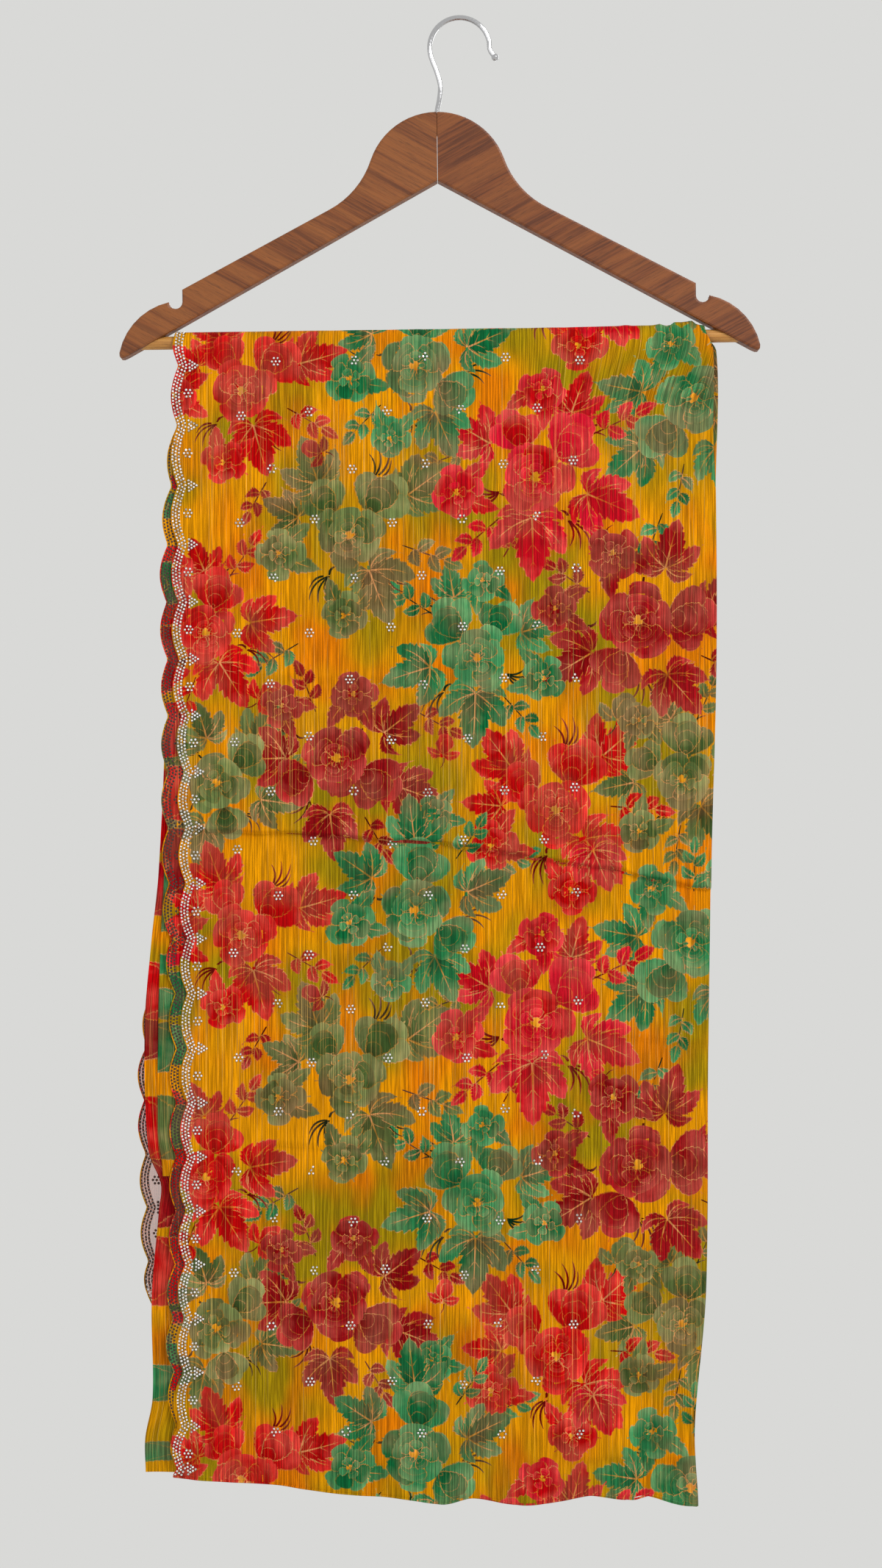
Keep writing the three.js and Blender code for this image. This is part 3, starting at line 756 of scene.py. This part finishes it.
def cloth_grid(name, x, s, distance, u, material, sheer=0.0, shift=(0, 0), strip=(), strip_from=1000.0):
    """A sheet of cloth from arrays of its places, with its print."""
    faces = grid_faces(*x.shape)
    obj = new_mesh(name, spot(x, s, distance), faces, material)
    place = np.stack([u + shift[0], print_height(s) + shift[1]], axis=-1).reshape(-1, 2)
    store(obj.data, "cloth", "FLOAT_VECTOR", "POINT", np.pad(place, ((0, 0), (0, 1))))
    store(obj.data, "sheer", "FLOAT", "POINT", np.broadcast_to(sheer, x.shape))
    chart(obj.data, place[faces], strip, strip_from)
    return obj


def activate(objects):
    """Select these objects alone, the first one active."""
    bpy.ops.object.select_all(action="DESELECT")
    for obj in objects:
        obj.select_set(True)
    bpy.context.view_layer.objects.active = objects[0]


def join_sheets(name, objects):
    """Several sheets as one piece."""
    activate(objects)
    bpy.ops.object.join()
    objects[0].name = name
    return objects[0]


# ---------------- material tools
class Value:
    """A node's output that can be reckoned with like a number."""

    def __init__(self, tree, socket):
        self.tree = tree
        self.socket = socket

    def __add__(self, other):
        return self.tree.math("ADD", self, other)

    def __sub__(self, other):
        return self.tree.math("SUBTRACT", self, other)

    def __rsub__(self, other):
        return self.tree.math("SUBTRACT", other, self)

    def __mul__(self, other):
        return self.tree.math("MULTIPLY", self, other)

    def __truediv__(self, other):
        return self.tree.math("DIVIDE", self, other)

    def __pow__(self, other):
        return self.tree.math("POWER", self, other)

    def __abs__(self):
        return self.tree.math("ABSOLUTE", self)


class Tree:
    """Short ways to add nodes to a node tree and to get their outputs as values."""

    def __init__(self, tree):
        self.tree = tree

    def put(self, socket, value):
        if isinstance(value, Value):
            self.tree.links.new(value.socket, socket)
        else:
            socket.default_value = value

    def fill(self, node, values, output=0):
        """Give a node its inputs, by name or number, and take one output."""
        for key, value in values.items():
            self.put(node.inputs[key], value)
        return Value(self, node.outputs[output])

    def node(self, kind, values, output=0, **settings):
        node = self.tree.nodes.new(kind)
        for key, value in settings.items():
            setattr(node, key, value)
        return self.fill(node, values, output)

    def math(self, operation, *values, clamp=False):
        return self.node(
            "ShaderNodeMath", dict(enumerate(values)), operation=operation, use_clamp=clamp
        )

    def most(self, a, b):
        return self.math("MAXIMUM", a, b)

    def ramp(self, value, low, high, start=0.0, end=1.0):
        """A smooth step of value from low to high, or down from low to a smaller high."""
        given = dict(enumerate((value, low, high, start, end)))
        return self.node("ShaderNodeMapRange", given, interpolation_type="SMOOTHSTEP")

    def stripes(self, value):
        """A thin line in the middle of each unit of value."""
        return self.ramp(abs(self.math("FRACT", value) - 0.5), 0.06, 0.01)

    def mix(self, share, a, b, blend="MIX"):
        given = {0: share, 6: a, 7: b}
        return self.node("ShaderNodeMix", given, 2, data_type="RGBA", blend_type=blend)

    def attribute(self, name, output="Vector"):
        return self.node("ShaderNodeAttribute", {}, output, attribute_name=name)

    def object_place(self):
        return self.node("ShaderNodeTexCoord", {}, "Object")

    def values(self, sockets):
        return [Value(self, socket) for socket in sockets]

    def split(self, vector):
        node = self.tree.nodes.new("ShaderNodeSeparateXYZ")
        self.put(node.inputs[0], vector)
        return self.values(node.outputs)

    def noise(self, place, scale, detail=2.0, stretch=None):
        if stretch:
            place = self.node("ShaderNodeMapping", {"Vector": place, "Scale": stretch})
        return self.node("ShaderNodeTexNoise", {"Vector": place, "Scale": scale, "Detail": detail})

    def bump(self, height, strength, distance):
        given = {"Strength": strength, "Distance": distance, "Height": height}
        return self.node("ShaderNodeBump", given)


def new_material(name):
    material = bpy.data.materials.new(name)
    material.use_nodes = True
    return material, Tree(material.node_tree), material.node_tree.nodes["Principled BSDF"]


def motif_group():
    """Node group that paints one printed shape over the colour below it."""
    group = bpy.data.node_groups.new("printed_shape", "ShaderNodeTree")
    kinds = {"Under": "Color", "Form": "Vector", "Kind": "Vector", "Tint": "Color"}
    kinds.update(dict.fromkeys(("Veins", "Mottle", "Dusty", "Wobble"), "Float"))
    for name, kind in kinds.items():
        group.interface.new_socket(name, in_out="INPUT", socket_type="NodeSocket" + kind)
    group.interface.new_socket("Colour", in_out="OUTPUT", socket_type="NodeSocketColor")
    t = Tree(group)
    inputs = t.values(group.nodes.new("NodeGroupInput").outputs)
    under, form, kind, tint, veins, mottle, dusty, wobble = inputs[: len(kinds)]
    p, q, unit = t.split(form)
    a, b, teeth = t.split(kind)
    p = t.math("MINIMUM", t.most(p, 0.0), 1.0)
    off = abs(q)
    tooth = t.math("FRACT", p * 6.5) - 0.5
    form = p**a * (1.0 - p) ** b * (tooth * teeth + 1.0)
    inside = (form - off) * unit + wobble * t.ramp(unit, 1.0, 5.0, 0.15, 1.0)
    mask = t.ramp(inside, -0.15, 0.2) * t.ramp(unit, 0.0, 0.01)

    # A leaf's midrib and side veins, the curved lines of a petal, and the outline of both.
    share = off / t.most(form, 0.02)
    rib = t.ramp(off * unit / (1.2 - p), 0.75, 0.25) * t.ramp(p, 0.9, 0.62)
    side = t.stripes((share * -0.3 + p) * 3.6) * t.ramp(share + p, 1.1, 0.6)
    leaf_lines = t.most(rib, side * 0.8) * t.most(veins, 0.0)
    bowed = share * share * 0.3 + p
    arcs = t.stripes(bowed * 3.4 + wobble * 0.12) * t.most(veins * -0.6, 0.0)
    outline = t.ramp(inside, 0.75, 0.35) * t.ramp(p - mottle, 0.62, 0.12, 0.3, 1.0)
    lines = t.most(outline, t.most(leaf_lines, arcs))
    lines = lines * t.ramp(unit, 1.5, 3.0) * t.ramp(mottle, 0.3, 0.56, 0.25, 0.8)

    # Deep at the foot and paler towards the tip, as a brush leaves it.
    bright = t.mix(1.0, tint, BRIGHTER, "MULTIPLY")
    pale = t.mix(1.0, bright, PALER, "ADD")
    fade = t.math("ADD", mottle * 3.4 - 2.3, p * 1.25, clamp=True)
    colour = t.mix(fade, tint, pale)
    shade = t.mix(1.0, colour, DEEPER, "MULTIPLY")
    colour = t.mix(t.ramp(p + mottle, 1.0, 0.4, 0.0, 0.8), colour, shade)
    colour = t.mix(dusty, colour, srgb(*DUSTY))
    # Outlines run from peach to a pale pink, partly print and partly a painted highlight on raised
    # edges.
    line_colour = t.mix(t.ramp(mottle, 0.42, 0.6), srgb(*PEACH), srgb(*RIM_HIGHLIGHT))
    colour = t.mix(lines, colour, line_colour)
    t.put(group.nodes.new("NodeGroupOutput").inputs[0], t.mix(mask, under, colour))
    return group


def cloth_material(name, motif):
    """Crinkled printed chiffon."""
    material, t, shader = new_material(name)
    place = t.attribute("cloth")
    clouds = t.noise(place, 0.010)
    blush = t.noise(place, 0.021, 2.0, (1.0, 0.7, 1.0))
    ground = t.mix(t.ramp(clouds, 0.42, 0.6), srgb(*GOLD), srgb(*OLIVE))
    ground = t.mix(t.ramp(blush, 0.46, 0.68, 0.0, 0.7), ground, srgb(*ORANGE))
    coarse = t.ramp(t.noise(place, 1.0, 1.0, (1.15, 0.021, 1.0)), 0.4, 0.6)
    fine = t.ramp(t.noise(place, 1.0, 1.0, (2.6, 0.06, 1.0)), 0.38, 0.62)
    thread_glint = t.noise(place, 1.0, 0.0, (1.5, 0.005, 3.0))
    mottle = t.noise(place, 0.045, 3.0)
    wobble = t.noise(place, 0.16, 3.0) * 3.0 + coarse * 0.5 - 1.75
    dusty = t.ramp(t.noise(place, 0.022, 2.0, (1.0, 1.0, 4.0)), 0.46, 0.66, 0.0, 0.4)
    colour = t.mix(t.attribute("base", "Alpha"), ground, t.attribute("base", "Color"))
    for k in reversed(range(SLOTS)):
        tint, veins = (t.attribute(f"tint{k}", part) for part in ("Color", "Alpha"))
        shape = (t.attribute(f"form{k}"), t.attribute(f"kind{k}"), tint, veins)
        given = dict(enumerate((colour, *shape, mottle, dusty, wobble)))
        colour = t.node("ShaderNodeGroup", given, node_tree=motif)
    crinkle = fine * 0.5 + coarse
    # The crinkle's relief is also painted into the colour: painted shade in its hollows and painted
    # light on its ridges.
    colour = t.mix(1.0, colour, crinkle * 0.5 + 0.53, "MULTIPLY")
    # Thin bright streaks: partly light threads of the weave and partly painted highlights on the
    # crinkle.
    colour = t.mix(t.ramp(thread_glint, 0.71, 0.77, 0.0, 0.35), colour, THREAD_GLINT)
    # One layer alone lets the light through: part of it is see-through, and the light from behind is
    # painted in as a pale mauve.
    sheer = t.attribute("sheer", "Fac")
    cloth = t.fill(shader, {
        "Base Color": t.mix(sheer * 1.6, colour, srgb(*BACKLIT_MAUVE)),
        "Normal": t.bump(crinkle, 0.6, 0.0006),
        "Roughness": 0.75,
        "Sheen Weight": 0.02,
        "Sheen Roughness": 0.4,
        "Specular IOR Level": 0.05,
    })
    clear = t.node("ShaderNodeBsdfTransparent", {})
    blend = t.node("ShaderNodeMixShader", {0: sheer, 1: cloth, 2: clear})
    t.put(material.node_tree.nodes["Material Output"].inputs[0], blend)
    return material


def wood_material(name, heading, dark, mid, light, gloss):
    """Lacquered wood with its grain along a heading in the XZ plane."""
    material, t, shader = new_material(name)
    place = t.node("ShaderNodeMapping", {
        "Vector": t.object_place(), "Rotation": (0, heading, 0), "Scale": (1000, 1000, 1000),
    })
    grain = t.noise(place, 1.0, 3.0, (0.018, 0.35, 0.6))
    pores = t.noise(place, 1.0, 2.0, (0.12, 1.4, 2.6))
    bands = t.noise(place, 1.0, 1.0, (0.008, 0.12, 0.14))
    colour = t.mix(t.ramp(grain, 0.36, 0.64), srgb(*dark), srgb(*mid))
    colour = t.mix(t.ramp(bands, 0.42, 0.62, 0.0, 0.6), colour, srgb(*light))
    t.fill(shader, {
        "Base Color": t.mix(t.ramp(pores, 0.56, 0.72, 0.0, 0.5), colour, srgb(*(0.6 * c for c in dark))),
        "Normal": t.bump(grain + pores, 0.25, 0.0004),
        "Roughness": t.ramp(pores, 0.3, 0.7, gloss, gloss + 0.14),
        "Specular IOR Level": 0.42,
    })
    return material


def chrome_material():
    material, t, shader = new_material("polished_wire")
    haze = t.noise(t.object_place(), 900.0, 3.0)
    t.fill(shader, {
        "Base Color": srgb(196, 196, 198),
        "Metallic": 1.0,
        "Roughness": t.ramp(haze, 0.3, 0.8, 0.12, 0.3),
        "Normal": t.bump(haze, 0.05, 0.0003),
    })
    return material


def stone_material():
    material, t, shader = new_material("cut_stone")
    flicker = t.ramp(t.noise(t.object_place(), 700.0, 0.0), 0.34, 0.52)
    t.fill(shader, {
        "Base Color": t.mix(flicker, srgb(184, 176, 164), srgb(255, 255, 254)),
        "Metallic": 0.15,
        "Roughness": 0.15,
        "Specular IOR Level": 0.9,
    })
    return material


def setting_material():
    material, t, shader = new_material("stone_setting")
    speck = t.ramp(t.noise(t.object_place(), 1500.0), 0.3, 0.7)
    t.fill(shader, {"Base Color": t.mix(speck, srgb(26, 14, 10), srgb(70, 40, 24)), "Roughness": 0.5})
    return material


# ---------------- cloth pieces
def steps(first, last, size):
    """Even steps from first to last, about one size apart."""
    return np.linspace(first, last, int(round((last - first) / size)) + 1)


def pulled(x, left, step):
    """How far the columns near a scalloped edge follow its steps."""
    return step * np.clip(1 - (x - left) / BORDER_WIDTH, 0, 1)


def outer_cloth(material):
    """The outermost layer, with its scalloped left edge and the fold down its right side."""
    middle = steps(*OUTER_REACH, ROW)
    share = (middle - middle[0]) / (middle[-1] - middle[0])
    left = edge(FRONT_LEFT, REAR_LEFT, middle, LEFT_X)[:, None]
    right = edge(FRONT_RIGHT, REAR_RIGHT, middle, RIGHT_X)[:, None] - FOLD_RADIUS
    across = np.linspace(0, 1, OUTER_COLUMNS)
    flat = left + (right - left) * (across + 0.012 * np.sin(math.tau * across))
    # The fold is a half turn, and then a leg that runs back behind the cloth.
    angle = np.append(np.linspace(0, math.pi, 7)[1:], (math.pi, math.pi))
    leg = FOLD_LEG / 2 * np.array((0, 0, 0, 0, 0, 0, 1, 2))
    x = np.hstack([flat, right + FOLD_RADIUS * np.sin(angle) - leg])
    u = np.hstack([flat, right + FOLD_RADIUS * angle + leg])
    d = OUTER - FOLD_RADIUS * (1 - np.cos(np.append(0 * across, angle)))
    front, rear = hem_stations(np.clip(x.mean(axis=0), -223, 178), 0)
    s = front + (rear - front) * share[:, None]
    for line, side in ((FRONT_CREASE_LINE, -1), (REAR_CREASE_LINE, 1)):
        off = s - station(x, through(line, x), side)
        s -= ROWS_DRAWN[0] * off * np.exp(-((off / ROWS_DRAWN[1]) ** 2))
    pull = pulled(x, left, scallop(s))
    pull[:, len(across):] = 0
    x, u = x + pull, u + pull
    alone = smoothstep(x, -203, -206) * (s > CREST) * smoothstep(drop_of(s), 430, 470)
    # Towards the bar's right end the cloth is drawn aside, so its crinkle leans.
    u -= CRINKLE_LEAN * (1 - smoothstep(drop_of(s), 0, 60)) * smoothstep(x, 30, 150)
    obj = cloth_grid("saree_outer", x, s, d, u, material, sheer=0.42 * alone)
    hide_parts("outer_stretch")
    return obj


def second_cloth(material):
    """The second layer's strip, whose scalloped edge shows its wrong side."""
    middle = steps(*hem_stations(-180.0, SECOND_TUCK), 3.0)
    left = edge(SECOND_LEFT, SECOND_REAR_LEFT, middle, SECOND_LEFT_X)[:, None]
    x = left + (SPLIT_X - left) * np.linspace(0, 1, 28)
    s = middle[:, None] + 0 * x
    x = x + pulled(x, left, np.where(s < 0, scallop(s), 0))
    strip = strip_shapes(-198, SECOND_BLOCKS)
    obj = cloth_grid("saree_second", x, s, SECOND, x, material, strip=strip)
    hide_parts("second_stretch")
    return obj


def inner_cloth(material):
    """Three of the hidden layers, whose edges show at the hems."""
    sheets = []
    for k, distance in enumerate(INNER):
        front, rear = hem_stations(np.linspace(SPLIT_X, 160, 60), 5 + 2.2 * k)
        s = front + (rear - front) * steps(0, 1, 5 / 1480)[:, None]
        right = edge(FRONT_RIGHT, REAR_RIGHT, s, RIGHT_X) - FOLD_RADIUS - 1.5
        x = SPLIT_X + (right - SPLIT_X) * np.linspace(0, 1, 60)
        sheets.append(cloth_grid(f"inner_{k}", x, s, distance, x, material, shift=(20 * k, 90 * k + 40)))
    obj = join_sheets("saree_inner", sheets)
    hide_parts("inner_layers")
    return obj


def folded_edge(name, node, layers, table, material, blocks):
    """A folded edge of deeper layers: a leg in front, the fold and a leg behind."""
    front, back = layers
    radius = (front - back) / 2
    top, bottom = table[0][0], table[-1][0]
    heights = steps(bottom, top, 3)
    left = through(table, heights)[:, None]
    turn = np.pad(np.linspace(math.pi / 2, -math.pi / 2, 9), 25, mode="edge")
    reach = np.pad(np.zeros(9), 25, mode="linear_ramp", end_values=1)
    x = left + radius * (1 - np.cos(turn)) + (FOLD_END_X - left - radius) * reach
    s = station(FRONT_CORNER_X, heights, -1)[:, None] + 0 * x
    sway = 0.25 * np.sin(s / 31) + 0.2 * np.sin(s / 13 + x / 9)
    d = (front + back) / 2 + radius * np.sin(turn) + 0.3 * sway
    u = 80 * reach * np.sin(turn) + 0 * x
    obj = cloth_grid(name, x, s, d, u, material, strip=strip_shapes(0, blocks), strip_from=-6.0)
    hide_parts(node)
    width = 2 * abs(FOLD_END_X - left.mean()) * MM
    return obj


def unit(vectors):
    """Vectors made one long."""
    return vectors / np.linalg.norm(vectors, axis=-1, keepdims=True)


def tube(x, s, distance, radius, material):
    """A narrow rolled edge along a line on the cloth."""
    middle = spot(x, s, distance)
    along = unit(np.gradient(middle, axis=0))
    out = np.stack([0 * x, np.where(s < 0, -1.0, 1.0), 0 * x], axis=1)
    out[np.abs(s) < CREST] = (0, 0, 1)
    side = unit(np.cross(along, out))[:, None]
    out = np.cross(side[:, 0], along)[:, None]
    angle = (np.arange(TUBE_SIDES) * math.tau / TUBE_SIDES)[:, None]
    points = middle[:, None] + (np.cos(angle) * side + np.sin(angle) * out) * radius * MM
    i, j = np.meshgrid(np.arange(len(x) - 1), np.arange(TUBE_SIDES), indexing="ij")
    a, b = (i * TUBE_SIDES + j).ravel(), (i * TUBE_SIDES + (j + 1) % TUBE_SIDES).ravel()
    faces = np.stack([a, b, b + TUBE_SIDES, a + TUBE_SIDES], axis=1)
    obj = new_mesh("edge", points, faces, material)
    place = np.repeat(np.stack([x, print_height(s), 0 * x], axis=-1), TUBE_SIDES, axis=0)
    store(obj.data, "cloth", "FLOAT_VECTOR", "POINT", place)
    chart(obj.data, place[faces][..., :2], (), 1000.0)
    return obj


def edgings(material):
    """Rolled hems along the bottom edges and the turned edge of the scallops."""
    front, rear = hem_stations(FRONT_CORNER_X, 0)[0], hem_stations(REAR_CORNER_X, 0)[1]
    lines = []
    for k, corner, right in ((0, front, FRONT_RIGHT), (1, rear, REAR_RIGHT)):
        x = np.linspace(outer_left(corner) + 0.6, right[-1][1] - 1, 190)
        lines.append((x, hem_stations(x, 0)[k] + (0.4, -0.4)[k], OUTER, 0.75))
    s = np.arange(front + 1, rear - 1, 2.4)
    lines.append((outer_left(s) + 0.2, s, OUTER, 0.45))
    s = np.arange(hem_stations(FRONT_CORNER_X, SECOND_TUCK)[0] + 1, -CREST, 2.4)
    lines.append((second_left(s) + 0.2, s, SECOND, 0.42))
    return join_sheets("saree_edging", [tube(*line, material) for line in lines])


# ---------------- stones
def stone_ring(radius, height, turn=0.0):
    """The corners of a stone at one height."""
    angle = math.tau * (np.arange(STONE_SIDES) + turn) / STONE_SIDES
    return np.stack([radius * np.cos(angle), radius * np.sin(angle), height + 0 * angle], axis=1)


def stone_template():
    """One cut stone: its setting's rim, the facets around it and its flat table."""
    rings = (
        stone_ring(STONE_RIM, 0.0),
        stone_ring(STONE_RADIUS, STONE_GIRDLE),
        stone_ring(0.55 * STONE_RADIUS, STONE_HEIGHT, 0.5),
    )
    i = np.arange(STONE_SIDES)
    after = (i + 1) % STONE_SIDES
    rim = np.stack([i, after, after + STONE_SIDES, i + STONE_SIDES], axis=1)
    table = [(0, k, k + 1, k + 2) for k in range(1, STONE_SIDES - 2, 2)]
    faces = np.concatenate([rim, rim + STONE_SIDES, np.array(table) + 2 * STONE_SIDES])
    return np.concatenate(rings), faces, (np.arange(len(faces)) < STONE_SIDES).astype(int)


def dot_template():
    """One dark back of a stone, as it shows through on the wrong side."""
    points = np.concatenate([[(0, 0, 0.25)], stone_ring(0.82, 0.02)])
    quads = [(-1, i, i + 1, (i + 2) % STONE_SIDES) for i in range(0, STONE_SIDES, 2)]
    return points, np.array(quads) + 1, np.zeros(len(quads), dtype=int)


def scatter(name, places, distance, outward, template, materials, tilt, random):
    """One joined mesh with a copy of the template at each place, standing on the cloth."""
    points, faces, kinds = template
    x, s = places.T
    here = spot(x, s, distance)
    ux = spot(x + 0.4, s, distance) - here
    us = spot(x, s + 0.4, distance) - here
    normal = unit(np.cross(ux, us) * outward)
    normal = unit(normal + random.normal(0, tilt, normal.shape))
    ux = unit(ux - normal * np.sum(ux * normal, axis=1)[:, None])
    uy = np.cross(normal, ux)
    turn = random.uniform(0, math.tau, len(x))[:, None]
    axes = (ux * np.cos(turn) + uy * np.sin(turn), uy * np.cos(turn) - ux * np.sin(turn), normal)
    size = random.uniform(0.93, 1.06, len(x))[:, None, None] * MM
    world = here[:, None] + points * size @ np.stack(axes, axis=1)
    all_faces = (faces + (np.arange(len(x)) * len(points))[:, None, None]).reshape(-1, 4)
    obj = new_mesh(name, world, all_faces, materials[0])
    for material in materials[1:]:
        obj.data.materials.append(material)
    obj.data.polygons.foreach_set("material_index", np.tile(kinds, len(x)).astype(np.int32))
    obj.data.polygons.foreach_set("use_smooth", np.zeros(len(all_faces), dtype=bool))
    obj.data.update()
    return obj


def border_places(left, first, last):
    """Places of the border's stones between two stations."""
    places = []
    count = int((last - first) / STONE_PITCH)
    for row, inset in enumerate(STONE_ROWS):
        s = first + (np.arange(count) + 0.5 * (row % 2)) * STONE_PITCH
        places.append(np.stack([left(s) + inset, s], axis=1))
    fine = np.arange(first, last, 0.25)
    step = scallop(fine)
    peak = (step[1:-1] >= step[:-2]) & (step[1:-1] > step[2:]) & (step[1:-1] > 0.8 * SCALLOP_DEPTH)
    for s0 in fine[1:-1][peak]:
        for inset, offsets in CUSP_ROWS:
            for offset in offsets:
                places.append([[left(s0) + inset, s0 + offset]])
        middle = s0 - 19.0
        if first < middle < last:
            places.append(cluster(left(middle) + BORDER_CLUSTER_INSET, middle))
    return np.concatenate(places)


def cluster(x, s):
    angles = np.arange(6) * math.pi / 3
    ring = np.stack([x + CLUSTER_RADIUS * np.cos(angles), s + CLUSTER_RADIUS * np.sin(angles)], axis=1)
    return np.concatenate([ring, [[x, s]]])


def field_places(first, last, random):
    """Small flowers of seven stones on a half-drop grid, a stone missing here and there."""
    places = []
    row = math.ceil((first - FIELD_ROW_S) / FIELD_S)
    while FIELD_ROW_S + row * FIELD_S < last:
        s = FIELD_ROW_S + row * FIELD_S
        for x in np.arange(FIELD_START[(row + 1) % 2], FIELD_LAST_X, FIELD_X):
            flower = cluster(x + random.uniform(-3, 3), s + random.uniform(-3, 3))
            kept = random.random(len(flower)) > 0.1
            places.append(flower[kept])
        row += 1
    return np.concatenate(places)


def stones(materials):
    random = np.random.default_rng(SEED + 1)
    front, rear = hem_stations(-196.0, 0)
    border = border_places(outer_left, front + 2, rear - 2)
    border += random.normal(0, 0.1, border.shape)
    drops = ((front + 12, -CREST), (CREST + 20, rear - 8))
    field = np.concatenate([field_places(*drop, random) for drop in drops])
    facets = stone_template()
    pieces = []
    for name, places in (("stones_border", border), ("stones_field", field)):
        obj = scatter(name, places, OUTER + 0.08, 1, facets, materials, 0.14, random)
        pieces.append(obj)
    return pieces


def stone_backs(material):
    """Dark backs of stones on the wrong sides that show."""
    random = np.random.default_rng(SEED + 2)
    front, rear = hem_stations(FRONT_CORNER_X, SECOND_TUCK)
    second = border_places(second_left, front + 2, -CREST - 30)
    second += random.normal(0, 0.12, second.shape)
    first = border_places(outer_left, CREST + 380, rear - 4)
    first += random.normal(0, 0.12, first.shape)
    dots = dot_template()
    return [
        scatter("stone_backs_front", second, SECOND + 0.05, 1, dots, [material], 0.02, random),
        scatter("stone_backs_rear", first, OUTER - 0.12, -1, dots, [material], 0.02, random),
    ]


# ---------------- scene
def camera():
    """Straight in front, as far off as makes 0.509 mm of a pixel of the photograph's frame."""
    data = bpy.data.cameras.new("camera")
    data.sensor_width = 36
    data.lens = 56.35
    data.clip_end = 50
    obj = add_object("camera", data)
    obj.location = (-0.0132, -1.705, -0.5306)
    obj.rotation_euler = (math.pi / 2, 0, 0)
    bpy.context.scene.camera = obj


def area_light(name, place, size, power):
    """A round light that looks at the middle of the part."""
    data = bpy.data.lights.new(name, "AREA")
    data.shape = "DISK"
    data.size = size
    data.energy = power
    obj = add_object(name, data)
    obj.location = place
    obj.rotation_euler = (Vector(MIDDLE) - Vector(place)).to_track_quat("-Z", "Y").to_euler()


def floor():
    """A pale round floor."""
    sides = 64
    angle = math.tau * np.arange(sides) / sides
    ring = np.stack([2.4 * np.cos(angle), 2.4 * np.sin(angle), FLOOR_Z + 0 * angle], axis=1)
    material, t, shader = new_material("pale_floor")
    t.fill(shader, {"Base Color": srgb(226, 225, 222), "Roughness": 0.9})
    mesh = bpy.data.meshes.new("floor")
    mesh.from_pydata(ring.tolist(), [], [list(range(sides))])
    mesh.materials.append(material)
    add_object("floor", mesh)


def surroundings():
    world = bpy.data.worlds.new("world")
    bpy.context.scene.world = world
    world.use_nodes = True
    background = world.node_tree.nodes["Background"]
    background.inputs[0].default_value = srgb(217, 217, 215)
    background.inputs[1].default_value = 1.0
    area_light("key", (1.5, -2.0, 1.3), 0.9, 44)
    area_light("fill", (-1.8, -2.2, -0.2), 1.6, 5)
    area_light("back", (0.6, 2.4, 0.8), 1.6, 20)
    floor()


def dress_hanger(frame):
    arms = (
        ("hanger_arm_left", -ARM_SLOPE, (98, 50, 18), (132, 72, 28), (150, 88, 38)),
        ("hanger_arm_right", ARM_SLOPE, (90, 43, 14), (124, 65, 25), (142, 80, 33)),
    )
    for node, heading, dark, mid, light in arms:
        material = wood_material(f"{node}_wood", heading, dark, mid, light, 0.42)
        dress(frame["nodes"][node], material, 35)
    bar = wood_material("bar_wood", 0.0, (172, 116, 54), (198, 142, 70), (216, 162, 90), 0.38)
    dress(frame["nodes"]["trouser_bar"], bar, 50)
    dress(frame["nodes"]["hook"], chrome_material(), 60)


def dress(obj, material, angle):
    obj.data.materials.clear()
    obj.data.materials.append(material)
    activate([obj])
    bpy.ops.object.shade_smooth_by_angle(angle=math.radians(angle))


def main():
    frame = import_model()
    bpy.context.scene.view_settings.view_transform = "Standard"
    camera()
    surroundings()
    dress_hanger(frame)
    motif = motif_group()
    right_side = cloth_material("printed_chiffon", motif)
    wrong_side = cloth_material("printed_chiffon_reverse", motif)
    sheets = [outer_cloth(right_side), second_cloth(wrong_side), inner_cloth(wrong_side)]
    green = folded_edge("saree_green_fold", "green_fold", GREEN, GREEN_LEFT, right_side, GREEN_BLOCKS)
    red = folded_edge("saree_red_fold", "red_fold", RED, RED_LEFT, right_side, RED_BLOCKS)
    sheets.append(edgings(right_side))
    setting = setting_material()
    small = stones([stone_material(), setting]) + stone_backs(setting)
    for obj in (*sheets, green, red, *small):
        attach(obj, "root")


main()
